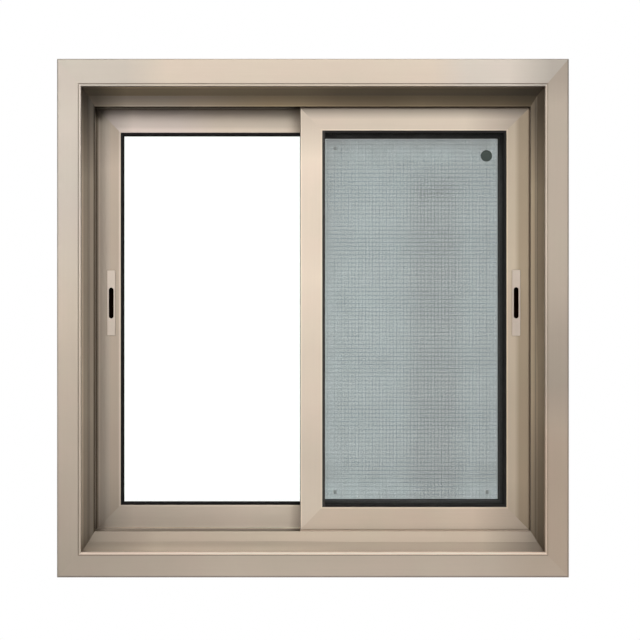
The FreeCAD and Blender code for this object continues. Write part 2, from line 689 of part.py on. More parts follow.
def build_sash(name, rect, y, track, lock_side, hook_forward, front_wall, back_wall):
    """One glazed sash: four mitred members, glazing, lock, rollers and pile."""
    meeting_side = "left" if lock_side == "right" else "right"
    face = {lock_side: LOCK_STILE_FACE, meeting_side: MEETING_STILE_FACE,
            "bottom": SASH_BOTTOM_FACE, "top": SASH_TOP_FACE}
    widths = (face["left"], face["right"], face["bottom"], face["top"])
    kinds = {lock_side: "tongue", meeting_side: "hook", "bottom": "legs", "top": "legs"}
    names = {lock_side: "lock_stile", meeting_side: "meeting_stile",
             "bottom": "bottom_rail", "top": "top_rail"}
    keep = leg_region(rect, meeting_side, y - SASH_TO_SASH, y + SASH_DEPTH + SASH_TO_SASH)
    for side in ("left", "right", "bottom", "top"):
        points = sash_points(face[side], SASH_DEPTH, kinds[side])
        chamber = sash_chamber(face[side], SASH_DEPTH)
        if hook_forward:
            points = flipped(points, SASH_DEPTH)
        profile = section(moved_back(points, y), [moved_back(chamber, y)])
        member = mitred_member(profile, rect, widths, side).common(keep)
        if side == "bottom":
            member = member.cut(wheel_gaps(rect, track))
        if side == lock_side:
            member = member.cut(lock_pocket(rect, lock_side, y))
        write(name + "_" + names[side], solid_of(member))
    build_glazing(name, rect, widths, y)
    build_lock(name, rect, lock_side, y)
    build_rollers(name, rect, track, SASH_DEPTH, LEG_INSET)
    build_pile(name, rect, widths, lock_side, y, SASH_DEPTH, LEG_INSET, front_wall, back_wall)


def screen_points(face, kind):
    """The outline of a screen extrusion: a box with a flange that backs the mesh."""
    depth = SCREEN_DEPTH
    seat = depth / 2
    flange = seat + MESH_THICKNESS
    body = face - SCREEN_BEAD_WIDTH
    soft = SCREEN_EDGE_RADIUS
    points = [(0, 0), (body, 0, soft), (body, flange), (face, flange), (face, flange + SCREEN_FLANGE),
              (body, flange + SCREEN_FLANGE), (body, depth, soft), (0, depth)]
    length = {"plain": 0.0, "tongue": TONGUE_LENGTH, "legs": LEG_LENGTH}[kind]
    if length > 0:
        near, far = SCREEN_LEG_INSET, depth - SCREEN_LEG_INSET
        wall = SASH_WALL / 2
        points += [(0, far), (-length, far), (-length, far - wall), (0, far - wall),
                   (0, near + wall), (-length, near + wall), (-length, near), (0, near)]
    return points


def build_screen(name, rect, y, track, front_wall, back_wall):
    """The screen sash: four mitred members, a mesh sheet and the bead that clamps it."""
    widths = (SCREEN_INNER_STILE_FACE, SCREEN_FACE, SCREEN_FACE, SCREEN_FACE)
    faces = dict(zip(("left", "right", "bottom", "top"), widths))
    kinds = {"left": "plain", "right": "tongue", "bottom": "legs", "top": "legs"}
    names = {"left": "inner_stile", "right": "outer_stile", "bottom": "bottom_rail", "top": "top_rail"}
    keep = leg_region(rect, "left", y, y + SCREEN_DEPTH)
    wall, back_wall_y = SASH_WALL, SCREEN_DEPTH - SASH_WALL
    for side, face in faces.items():
        body = face - SCREEN_BEAD_WIDTH
        chamber = [(wall, wall), (body - wall, wall), (body - wall, back_wall_y), (wall, back_wall_y)]
        profile = section(moved_back(screen_points(face, kinds[side]), y), [moved_back(chamber, y)])
        member = mitred_member(profile, rect, widths, side).common(keep)
        if side == "bottom":
            member = member.cut(wheel_gaps(rect, track))
        write(name + "_" + names[side], solid_of(member))
    opening = rect.inset(*widths)
    seat = y + SCREEN_DEPTH / 2
    write(name + "_mesh", opening.inset_all(-MESH_COVER).slab(seat, seat + MESH_THICKNESS))
    outer = opening.inset_all(SEAT - SCREEN_BEAD_WIDTH)
    width = SCREEN_BEAD_WIDTH - SEAT
    step = width - SCREEN_BEAD_STEP
    top = seat - SCREEN_BEAD_HEIGHT
    bead = section([(0, seat), (0, top, SCREEN_BEAD_RADIUS), (step, top, SCREEN_BEAD_RADIUS),
                    (step, seat - SCREEN_BEAD_EDGE), (width, seat - SCREEN_BEAD_EDGE), (width, seat)])
    write(name + "_bead", solid_of(mitred_ring(bead, outer, width)))
    build_rollers(name, rect, track, SCREEN_DEPTH, SCREEN_LEG_INSET - SASH_WALL / 2)
    build_pile(name, rect, widths, "right", y, SCREEN_DEPTH, SCREEN_LEG_INSET, front_wall, back_wall)


def main():
    """Build and export every piece."""
    os.makedirs("parts", exist_ok=True)
    half_rib = RIB_THICKNESS / 2
    build_casing()
    build_frame()
    build_rail_caps()
    build_weep_covers()
    build_sash("front_sash", FRONT_RECT, FRONT_SASH_Y, TRACK_CENTRES[0], "right", False,
               LIP_BACK, RIB_CENTRES[0] - half_rib)
    build_sash("rear_sash", REAR_RECT, REAR_SASH_Y, TRACK_CENTRES[1], "left", True,
               RIB_CENTRES[0] + half_rib, RIB_CENTRES[1] - half_rib)
    build_screen("screen", SCREEN_RECT, SCREEN_Y, TRACK_CENTRES[2], RIB_CENTRES[1] + half_rib, BACK_LIP_Y)


main()
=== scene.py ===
import json
import logging
import math
from abc import ABC, abstractmethod
from dataclasses import dataclass
from enum import Enum
from typing import Any, Callable, Sequence

import bpy
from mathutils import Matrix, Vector


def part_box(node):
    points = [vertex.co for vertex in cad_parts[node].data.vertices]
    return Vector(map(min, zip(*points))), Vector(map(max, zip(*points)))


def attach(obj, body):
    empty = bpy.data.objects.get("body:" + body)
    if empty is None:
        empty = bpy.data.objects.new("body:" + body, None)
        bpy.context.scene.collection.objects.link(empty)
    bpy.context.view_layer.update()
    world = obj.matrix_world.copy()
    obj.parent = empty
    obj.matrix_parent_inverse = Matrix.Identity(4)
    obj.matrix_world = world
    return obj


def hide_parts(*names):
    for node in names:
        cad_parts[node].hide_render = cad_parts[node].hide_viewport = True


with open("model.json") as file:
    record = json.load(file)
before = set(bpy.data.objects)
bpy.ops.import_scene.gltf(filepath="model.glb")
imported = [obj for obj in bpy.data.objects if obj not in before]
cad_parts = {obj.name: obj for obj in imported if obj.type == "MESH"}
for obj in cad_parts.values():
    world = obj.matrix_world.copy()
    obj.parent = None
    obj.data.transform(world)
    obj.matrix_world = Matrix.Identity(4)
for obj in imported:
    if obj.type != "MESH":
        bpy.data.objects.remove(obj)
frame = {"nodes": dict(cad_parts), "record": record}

logging.basicConfig(level=logging.INFO, format="%(message)s")
LOG = logging.getLogger("sliding_window")

Colour = tuple[float, float, float]
Point = tuple[float, float, float]
Pair = tuple[float, float]
Pairs = tuple[Pair, ...]

WHITE: Colour = (1.0, 1.0, 1.0)
# The length over which a band fades, in metres
SOFT_EDGE = 0.0004
# The distance within which things touch, in metres
TOUCH = 0.00001
# The least cosine between an axis and the normal of a face that points along it
FACING = 0.9


class Direction(Enum):
    """The two ways that a wire can run in the plane of the window."""

    UPRIGHT = "upright"
    LEVEL = "level"


class Pattern(Enum):
    """How a noise pattern is stretched."""

    EVEN = (1.0, 1.0, 1.0)
    ALONG_X = (0.02, 1.0, 1.0)
    ALONG_Y = (1.0, 0.04, 1.0)
    ALONG_Z = (1.0, 1.0, 0.02)


class Axis(Enum):
    """The object's axes, by their output on a Separate XYZ node."""

    X = "X"
    Y = "Y"
    Z = "Z"


class MixSocket(Enum):
    """The sockets of a Mix node that mixes colours, by their place: three inputs and the result."""

    FACTOR = 0
    FIRST = 6
    SECOND = 7
    RESULT = 2


# Shader trees


class Signal:
    """A shader socket that can be used in arithmetic."""

    def __init__(self, tree: bpy.types.NodeTree, socket: bpy.types.NodeSocket) -> None:
        """Wrap an output socket.

        Args:
            tree: The node tree that the socket is in.
            socket: The output socket to wrap.
        """
        self.tree = tree
        self.socket = socket

    def _maths(self, operation: str, first: "Signal | float", second: "Signal | float") -> "Signal":
        """Add one Math node.

        Args:
            operation: The Math node's operation.
            first: A number or a Signal.
            second: A number or a Signal.

        Returns:
            The node's result.
        """
        node = self.tree.nodes.new("ShaderNodeMath")
        node.operation = operation
        for index, operand in enumerate((first, second)):
            if isinstance(operand, Signal):
                self.tree.links.new(operand.socket, node.inputs[index])
            else:
                node.inputs[index].default_value = float(operand)
        return Signal(self.tree, node.outputs[0])

    def __add__(self, other: "Signal | float") -> "Signal":
        """The sum with a number or a Signal."""
        return self._maths("ADD", self, other)

    def __radd__(self, other: float) -> "Signal":
        """The sum with a number on the left."""
        return self._maths("ADD", other, self)

    def __sub__(self, other: "Signal | float") -> "Signal":
        """This less a number or a Signal."""
        return self._maths("SUBTRACT", self, other)

    def __rsub__(self, other: float) -> "Signal":
        """A number less this."""
        return self._maths("SUBTRACT", other, self)

    def __mul__(self, other: "Signal | float") -> "Signal":
        """The product with a number or a Signal."""
        return self._maths("MULTIPLY", self, other)

    def __rmul__(self, other: float) -> "Signal":
        """The product with a number on the left."""
        return self._maths("MULTIPLY", other, self)

    def over(self, other: "Signal | float") -> "Signal":
        """The larger of this and another."""
        return self._maths("MAXIMUM", self, other)

    def clamped(self) -> "Signal":
        """This, held between 0 and 1."""
        return self._maths("MINIMUM", self.over(0.0), 1.0)


@dataclass(frozen=True)
class Band:
    """A stretch of one axis, in metres, with the length over which it fades inside both ends."""

    axis: Axis
    low: float
    high: float
    soft: float = SOFT_EDGE


@dataclass(frozen=True)
class PaintedStripe:
    """A place of painted light and shade: a painted highlight on an edge, painted shade in a groove or
    recess, or a painted lighter or darker stretch of a length.
    """

    factor: float
    bands: tuple[Band, ...]
    hue: Colour = WHITE


def across(low: float, high: float, soft: float = SOFT_EDGE) -> Band:
    """A band between two places along X, from left to right."""
    return Band(Axis.X, low, high, soft)


def deep(low: float, high: float, soft: float = SOFT_EDGE) -> Band:
    """A band between two places along Y, from the room to outdoors."""
    return Band(Axis.Y, low, high, soft)


def up(low: float, high: float, soft: float = SOFT_EDGE) -> Band:
    """A band between two heights."""
    return Band(Axis.Z, low, high, soft)


def painted_stripe(factor: float, *bands: Band, hue: Colour = WHITE) -> PaintedStripe:
    """A place of painted light and shade where all the given bands meet."""
    return PaintedStripe(factor, bands, hue)


def shade(colour: Colour, factor: float, hue: Colour = WHITE) -> Colour:
    """A colour made darker or lighter by a factor, and shifted in hue."""
    return tuple(min(1.0, channel * factor * part) for channel, part in zip(colour, hue))


class ShaderTree:
    """The node tree of a material or world, with short calls for its nodes and links."""

    def __init__(self, owner: bpy.types.Material | bpy.types.World, output: str) -> None:
        """Empty the owner's tree and give it its output.

        Args:
            owner: The material or world.
            output: The type of its output node.
        """
        owner.use_nodes = True
        self.owner = owner
        self.tree = owner.node_tree
        self.tree.nodes.clear()
        self.output = self.node(output)

    def node(self, kind: str, settings: dict[str, Any] | None = None,
             inputs: dict[str | int, Any] | None = None) -> bpy.types.Node:
        """Add a node, set it up and join its inputs.

        Args:
            kind: The node's type.
            settings: Properties of the node, which are set first.
            inputs: Values, Signals or sockets for its inputs.

        Returns:
            The new node.
        """
        node = self.tree.nodes.new(kind)
        for key, value in (settings or {}).items():
            setattr(node, key, value)
        for key, value in (inputs or {}).items():
            socket = node.inputs[key]
            if isinstance(value, Signal):
                self.tree.links.new(value.socket, socket)
            elif isinstance(value, bpy.types.NodeSocket):
                self.tree.links.new(value, socket)
            elif socket.type == "RGBA":
                socket.default_value = (*value, 1.0)
            else:
                socket.default_value = value
        return node

    def signal(self, node: bpy.types.Node, output: str | int = 0) -> Signal:
        """One output of a node as a Signal."""
        return Signal(self.tree, node.outputs[output])

    def close(self, surface: bpy.types.NodeSocket) -> bpy.types.Material | bpy.types.World:
        """Join the last shader to the output, and hand out the material or world."""
        self.tree.links.new(surface, self.output.inputs["Surface"])
        return self.owner


class FinishTree(ShaderTree):
    """A material's node tree, with the patterns that the finishes share."""

    def __init__(self, name: str) -> None:
        """Start an empty material of the given name."""
        super().__init__(bpy.data.materials.new(name), "ShaderNodeOutputMaterial")

    def place(self, stretch: Point = (1.0, 1.0, 1.0)) -> bpy.types.NodeSocket:
        """Object coordinates in metres, scaled.

        Args:
            stretch: The scale along each axis.

        Returns:
            The scaled coordinates.
        """
        where = self.node("ShaderNodeTexCoord")
        mapping = self.node("ShaderNodeMapping", inputs={
            "Vector": where.outputs["Object"], "Scale": stretch})
        return mapping.outputs["Vector"]

    def noise(self, scale: float, detail: float = 2.0, pattern: Pattern = Pattern.EVEN,
              roughness: float = 0.55) -> Signal:
        """A noise pattern on Object coordinates.

        Args:
            scale: How many grains there are to a metre.
            detail: The number of finer layers.
            pattern: How the noise is stretched.
            roughness: How strongly the finer layers show.

        Returns:
            The noise as a value round 0.5.
        """
        node = self.node("ShaderNodeTexNoise", inputs={
            "Vector": self.place(pattern.value), "Scale": scale, "Detail": detail, "Roughness": roughness})
        return self.signal(node, "Fac")

    def steps(self, factor: Signal, stops: Pairs) -> Signal:
        """A ramp of grey stops.

        Args:
            factor: The value that is looked up.
            stops: Pairs of position and grey level.

        Returns:
            The grey level.
        """
        node = self.node("ShaderNodeValToRGB", inputs={0: factor})
        for element, (position, level) in zip(node.color_ramp.elements, stops):
            element.position = position
            element.color = (level, level, level, 1.0)
        return self.signal(node)

    def patches(self, noise: Signal, low: float, high: float) -> Signal:
        """Patches out of a noise pattern: 0 where it is under low, and 1 where it is over high."""
        return self.steps(noise, ((low, 0.0), (high, 1.0)))

    def hollow(self, reach: float, stops: Pairs, samples: int = 8) -> Signal:
        """How far a place lies in a hollow or an inner corner.

        Args:
            reach: How far round a place is looked, in metres.
            stops: Pairs of openness and level.
            samples: How many directions are looked in.

        Returns:
            The level, which is 1 in the depth of a hollow.
        """
        node = self.node("ShaderNodeAmbientOcclusion", settings={"samples": samples},
                         inputs={"Distance": reach})
        return self.steps(self.signal(node, "AO"), stops)

    def blend(self, factor: Signal, first: Colour | bpy.types.NodeSocket,
              second: Colour | bpy.types.NodeSocket) -> bpy.types.NodeSocket:
        """A mix of two colours.

        Args:
            factor: 0 for the first colour, 1 for the second.
            first: A colour or a colour socket.
            second: A colour or a colour socket.

        Returns:
            The mixed colour.
        """
        node = self.node("ShaderNodeMix", settings={"data_type": "RGBA"}, inputs={
            MixSocket.FACTOR.value: factor, MixSocket.FIRST.value: first, MixSocket.SECOND.value: second})
        return node.outputs[MixSocket.RESULT.value]

    def band(self, band: Band) -> Signal:
        """A mask that is 1 between two places along an axis, and fades over its soft length inside them.

        Args:
            band: The axis, the two places and the soft length.

        Returns:
            The mask.
        """
        split = self.node("ShaderNodeSeparateXYZ", inputs={0: self.place()})
        along = self.signal(split, band.axis.value)
        slope = 1 / band.soft
        return ((along - band.low) * slope).clamped() * ((band.high - along) * slope).clamped()

    def striped(self, colour: bpy.types.NodeSocket, stripes: Sequence[PaintedStripe]) -> bpy.types.NodeSocket:
        """A colour with painted light and shade laid over it.

        Args:
            colour: The colour's socket.
            stripes: The places, each with its factor and hue.

        Returns:
            The socket of the changed colour.
        """
        for place in stripes:
            mask = self.band(place.bands[0])
            for band in place.bands[1:]:
                mask = mask * self.band(band)
            tint = self.blend(mask, WHITE, tuple(place.factor * part for part in place.hue))
            product = self.node("ShaderNodeVectorMath", settings={"operation": "MULTIPLY"},
                                inputs={0: colour, 1: tint})
            colour = product.outputs[0]
        return colour

    def relief(self, height: Signal, distance: float) -> bpy.types.NodeSocket:
        """A normal bumped by a height pattern of 0 to 1, for a relief of the given height in metres."""
        return self.node("ShaderNodeBump", inputs={"Height": height, "Distance": distance}).outputs["Normal"]

    def finish(self, inputs: dict[str, Any]) -> bpy.types.Material:
        """Close the tree with one Principled shader that has the given inputs."""
        return self.close(self.node("ShaderNodeBsdfPrincipled", inputs=inputs).outputs["BSDF"])


# Finishes


@dataclass(frozen=True)
class Finish(ABC):
    """A surface that is built as one named material."""

    name: str

    @abstractmethod
    def build(self) -> bpy.types.Material:
        """Make the material."""


@dataclass(frozen=True)
class PowderCoat(Finish):
    """Satin coating on aluminium, with a faint metallic sparkle, fine orange peel and painted shade in its
    hollows.
    """

    colour: Colour
    pattern: Pattern = Pattern.EVEN
    stripes: tuple[PaintedStripe, ...] = ()
    roughness: float = 0.43
    metallic: float = 0.40
    gloss: float = 0.45
    cloud_scale: float = 5.0
    cloud_shades: Pair = (0.97, 1.03)
    cloud_rough: float = 0.05
    warm_scale: float = 9.0
    warm_share: float = 0.5
    warm_hue: Colour = (1.03, 0.975, 1.0)
    streak_scale: float = 260.0
    streak_share: float = 0.3
    streak_shade: float = 0.93
    grain_scale: float = 1400.0
    grain_share: float = 0.05
    grain_shade: float = 1.5
    grain_rough: float = 0.03
    peel_scale: float = 420.0
    peel_height: float = 0.00004
    # Painted shade in hollows and inner corners: how much, how dark, its hue, how far it looks round and its
    # ramp, and how much rougher the hollows are.
    painted_shade_share: float = 0.7
    painted_shade_level: float = 0.28
    painted_shade_hue: Colour = (1.18, 0.96, 0.74)
    painted_shade_reach: float = 0.045
    painted_shade_stops: Pairs = ((0.25, 1.0), (0.92, 0.0))
    hollow_rough: float = 0.12

    def build(self) -> bpy.types.Material:
        """Make the material.

        Returns:
            The coat, with its clouds, streaks, sparkle, stripes of painted light and shade, and painted
            shade in hollows.
        """
        tree = FinishTree(self.name)
        cloud = tree.patches(tree.noise(self.cloud_scale, detail=3.0), low=0.3, high=0.7)
        warm = tree.patches(tree.noise(self.warm_scale), low=0.35, high=0.65)
        streak = tree.patches(tree.noise(self.streak_scale, 3.0, self.pattern), low=0.3, high=0.7)
        grain = tree.patches(tree.noise(self.grain_scale, detail=1.0), low=0.35, high=0.68)
        dark, light = (shade(self.colour, factor) for factor in self.cloud_shades)
        base = tree.blend(cloud, dark, light)
        base = tree.blend(warm * self.warm_share, base, shade(self.colour, 1.0, self.warm_hue))
        base = tree.blend(streak * self.streak_share, base, shade(self.colour, self.streak_shade))
        base = tree.blend(grain * self.grain_share, base, shade(self.colour, self.grain_shade))
        # Painted light and shade: lighter and darker places laid over the colour.
        base = tree.striped(base, self.stripes)
        # Painted shade: the colour darkens in hollows and inner corners, where shade falls.
        hollow = tree.hollow(self.painted_shade_reach, self.painted_shade_stops)
        base = tree.blend(hollow * self.painted_shade_share, base, shade(self.colour, self.painted_shade_level, self.painted_shade_hue))
        rough = self.roughness + cloud * self.cloud_rough + grain * self.grain_rough
        rough = rough + hollow * self.hollow_rough
        peel = tree.noise(self.peel_scale)
        return tree.finish({"Base Color": base, "Roughness": rough, "Metallic": self.metallic,
                            "Specular IOR Level": self.gloss, "Normal": tree.relief(peel, self.peel_height)})


@dataclass(frozen=True)
class Rubber(Finish):
    """Black extruded rubber with a dry, slightly dusty skin."""

    colour: Colour
    dust: Colour
    stripes: tuple[PaintedStripe, ...] = ()
    roughness: float = 0.55
    gloss: float = 0.18
    dust_scale: float = 60.0
    dust_share: float = 0.35
    dust_rough: float = 0.15
    pore_scale: float = 1500.0
    pore_depth: float = 0.00005

    def build(self) -> bpy.types.Material:
        """Make the material.

        Returns:
            The rubber, with its dust, pores and stripes of painted light and shade.
        """
        tree = FinishTree(self.name)
        dust = tree.patches(tree.noise(self.dust_scale, detail=4.0), low=0.45, high=0.75)
        base = tree.striped(tree.blend(dust * self.dust_share, self.colour, self.dust), self.stripes)
        pores = tree.relief(tree.noise(self.pore_scale), self.pore_depth)
        return tree.finish({"Base Color": base, "Roughness": self.roughness + dust * self.dust_rough,
                            "Specular IOR Level": self.gloss, "Normal": pores})


@dataclass(frozen=True)
class BrushedMetal(Finish):
    """Bare metal with fine lines along one axis, and faint stains."""

    colour: Colour
    pattern: Pattern
    roughness: float = 0.28
    metallic: float = 0.9
    line_scale: float = 900.0
    line_shades: Pair = (0.86, 1.10)
    line_depth: float = 0.00003
    line_rough: float = 0.12
    stain_scale: float = 14.0
    stain_share: float = 0.25
    stain_shade: float = 0.72
    stain_rough: float = 0.08

    def build(self) -> bpy.types.Material:
        """Make the material.

        Returns:
            The metal, with its lines and stains.
        """
        tree = FinishTree(self.name)
        lines = tree.noise(self.line_scale, 3.0, self.pattern)
        stain = tree.patches(tree.noise(self.stain_scale, detail=3.0), low=0.4, high=0.75)
        dark, light = (shade(self.colour, factor) for factor in self.line_shades)
        base = tree.blend(lines, dark, light)
        base = tree.blend(stain * self.stain_share, base, shade(self.colour, self.stain_shade))
        rough = self.roughness + lines * self.line_rough + stain * self.stain_rough
        return tree.finish({"Base Color": base, "Metallic": self.metallic, "Roughness": rough,
                            "Normal": tree.relief(lines, self.line_depth)})


@dataclass(frozen=True)
class MouldedPlastic(Finish):
    """Moulded plastic with a fine spark-eroded skin."""

    colour: Colour
    roughness: float = 0.5
    gloss: float = 0.4
    cloud_scale: float = 30.0
    cloud_shades: Pair = (0.88, 1.12)
    skin_scale: float = 1100.0
    skin_depth: float = 0.00004
    skin_rough: float = 0.12

    def build(self) -> bpy.types.Material:
        """Make the material.

        Returns:
            The plastic, with its clouds and skin.
        """
        tree = FinishTree(self.name)
        skin = tree.noise(self.skin_scale)
        dark, light = (shade(self.colour, factor) for factor in self.cloud_shades)
        base = tree.blend(tree.noise(self.cloud_scale), dark, light)
        return tree.finish({"Base Color": base, "Roughness": self.roughness + skin * self.skin_rough,
                            "Specular IOR Level": self.gloss, "Normal": tree.relief(skin, self.skin_depth)})


@dataclass(frozen=True)
class WireCoat(Finish):
    """Matt plastic coating on thin wire, with slow clouds of dust over many wires."""

    colour: Colour
    stripes: tuple[PaintedStripe, ...] = ()
    roughness: float = 0.6
    gloss: float = 0.2
    cloud_scale: float = 22.0
    cloud_shades: Pair = (0.90, 1.10)
    strand_scale: float = 420.0
    strand_share: float = 0.5
    strand_shade: float = 0.72
    strand_rough: float = 0.1

    def build(self) -> bpy.types.Material:
        """Make the material.

        Returns:
            The coating, with its clouds, strands and stripes of painted light and shade.
        """
        tree = FinishTree(self.name)
        cloud = tree.patches(tree.noise(self.cloud_scale, detail=3.0), low=0.35, high=0.65)
        strand = tree.patches(tree.noise(self.strand_scale), low=0.35, high=0.65)
        dark, light = (shade(self.colour, factor) for factor in self.cloud_shades)
        base = tree.blend(cloud, dark, light)
        base = tree.blend(strand * self.strand_share, base, shade(self.colour, self.strand_shade))
        return tree.finish({"Base Color": tree.striped(base, self.stripes),
                            "Roughness": self.roughness + strand * self.strand_rough,
                            "Specular IOR Level": self.gloss})


@dataclass(frozen=True)
class PileFibre(Finish):
    """Dense brush fibres, seen as fine lines across the strip's depth."""

    colour: Colour
    tip: Colour
    fibre_scale: float = 1600.0
    fibre_depth: float = 0.0003
    roughness: float = 0.95
    sheen: float = 0.25

    def build(self) -> bpy.types.Material:
        """Make the material.

        Returns:
            The fibres, darker between their tips.
        """
        tree = FinishTree(self.name)
        fibres = tree.noise(self.fibre_scale, pattern=Pattern.ALONG_Y, roughness=0.5)
        base = tree.blend(tree.patches(fibres, low=0.38, high=0.66), self.colour, self.tip)
        return tree.finish({"Base Color": base, "Roughness": self.roughness, "Sheen Weight": self.sheen,
                            "Normal": tree.relief(fibres, self.fibre_depth)})


@dataclass(frozen=True)
class ClearGlass(Finish):
    """Clear float glass that lets straight light through to what stands behind it."""

    tint: Colour = (0.985, 1.0, 0.99)
    shadow: Colour = (0.97, 0.985, 0.975)
    gloss: float = 0.4
    ior: float = 1.5
    film_scale: float = 9.0
    film_share: float = 0.5
    film_shade: float = 0.992

    def build(self) -> bpy.types.Material:
        """Make the material.

        Returns:
            The glass, which is plainly see-through to shadow rays.
        """
        tree = FinishTree(self.name)
        film = tree.patches(tree.noise(self.film_scale, detail=3.0), low=0.35, high=0.8)
        base = tree.blend(film * self.film_share, self.tint, shade(self.tint, self.film_shade))
        glass = tree.node("ShaderNodeBsdfPrincipled", inputs={
            "Base Color": base, "Roughness": 0.0, "IOR": self.ior, "Transmission Weight": 1.0,
            "Specular IOR Level": self.gloss})
        clear = tree.node("ShaderNodeBsdfTransparent", inputs={"Color": self.shadow})
        path = tree.node("ShaderNodeLightPath")
        mix = tree.node("ShaderNodeMixShader", inputs={
            0: path.outputs["Is Shadow Ray"], 1: glass.outputs[0], 2: clear.outputs[0]})
        return tree.close(mix.outputs[0])


CHAMPAGNE: Colour = (0.585, 0.496, 0.398)

FINISHES: dict[str, Finish] = {
    "frame_trim": PowderCoat("weep_cover_coat", shade(CHAMPAGNE, 0.94), roughness=0.45, metallic=0.0),
    "sash": PowderCoat("screen_coat", CHAMPAGNE),
    "rail_cap": BrushedMetal("rail_cap_steel", (0.60, 0.60, 0.59), Pattern.ALONG_X),
    "glass": ClearGlass("clear_float_glass"),
    "spacer": BrushedMetal("spacer_aluminium", (0.52, 0.53, 0.54), Pattern.EVEN, roughness=0.39),
    "gasket": Rubber("gasket_rubber", (0.0040, 0.0034, 0.0030), (0.016, 0.013, 0.011)),
    "lock_plate": PowderCoat("lock_plate_coat", shade(CHAMPAGNE, 1.13, (1.0, 1.01, 1.05)),
                             Pattern.ALONG_Z, roughness=0.37),
    # The lock cup is black plastic with painted shade in its colour: a warm brown-black with no gloss,
    # standing in for deep shade in the slot.
    "lock_cup": MouldedPlastic("lock_cup_plastic", (0.0066, 0.0018, 0.0004), roughness=0.6, gloss=0.0),
    "roller": MouldedPlastic("roller_nylon", (0.74, 0.73, 0.68), roughness=0.38),
    "carriage": BrushedMetal("carriage_zinc", (0.55, 0.56, 0.58), Pattern.EVEN, roughness=0.36),
    "pile": PileFibre("pile_fibre", (0.030, 0.029, 0.028), (0.15, 0.145, 0.14)),
    # The cloth's marks are painted light and shade: painted shadows of the sash and frame across it, and
    # painted light near its edges.
    "mesh": WireCoat("wire_coating", (0.191, 0.236, 0.252), (
        painted_stripe(0.62, across(0.215, 0.385, 0.05), up(-0.10, 0.99, 0.08)),
        painted_stripe(1.12, across(-0.10, 0.18, 0.06)),
        painted_stripe(1.15, up(-0.30, 0.50, 0.30)),
        painted_stripe(1.60, up(0.975, 1.100, 0.035)),
        painted_stripe(1.30, up(0.100, 0.215, 0.03)),
        painted_stripe(0.92, up(0.66, 0.99, 0.06)),
        painted_stripe(1.35, across(0.425, 0.500, 0.015)),
        painted_stripe(1.40, across(-0.05, 0.080, 0.035), up(-0.30, 0.86, 0.20)),
    )),
    "bead": Rubber("bead_rubber", (0.0350, 0.0315, 0.0315), (0.065, 0.062, 0.063), roughness=0.48),
}
OWN_FINISHES: dict[str, Finish] = {
    # A painted highlight on the gasket's left stretch.
    "front_sash_gasket": Rubber("front_gasket_rubber", (0.0140, 0.0125, 0.0115), (0.032, 0.029, 0.027), (
        painted_stripe(3.5, across(0.0100, 0.0300)),
    )),
}
CAP_PLASTIC = MouldedPlastic("round_cap_plastic", (0.040, 0.056, 0.048), roughness=0.5)
PAD_PLASTIC = MouldedPlastic("corner_pad_plastic", (0.26, 0.29, 0.28), roughness=0.6)
SCREW_STEEL = BrushedMetal("screw_steel", (0.62, 0.61, 0.58), Pattern.EVEN, roughness=0.24)


# The coat of each extruded length


@dataclass(frozen=True)
class Length:
    """How one extruded length is finished: its grain, a painted lighter or darker copy of the coat, painted
    shade in hollows and painted light and shade stripes.
    """

    pattern: Pattern
    # A lighter or darker copy of the coat's colour for this length: painted light and shade.
    painted_light_tone: float = 1.0
    # How strongly and how darkly painted shade fills the length's hollows.
    painted_shade_share: float = 0.7
    painted_shade_level: float = 0.28
    stripes: tuple[PaintedStripe, ...] = ()

    def finish(self, node: str) -> PowderCoat:
        """The coat of a length, named after its node."""
        return PowderCoat(node + "_coat", shade(CHAMPAGNE, self.painted_light_tone), self.pattern, self.stripes,
                          painted_shade_share=self.painted_shade_share, painted_shade_level=self.painted_shade_level)


REVEAL = deep(-0.0200, 0.0252)
FRONT_FACE = deep(0.0300, 0.0345)
REAR_FACE = deep(0.0705, 0.0750)
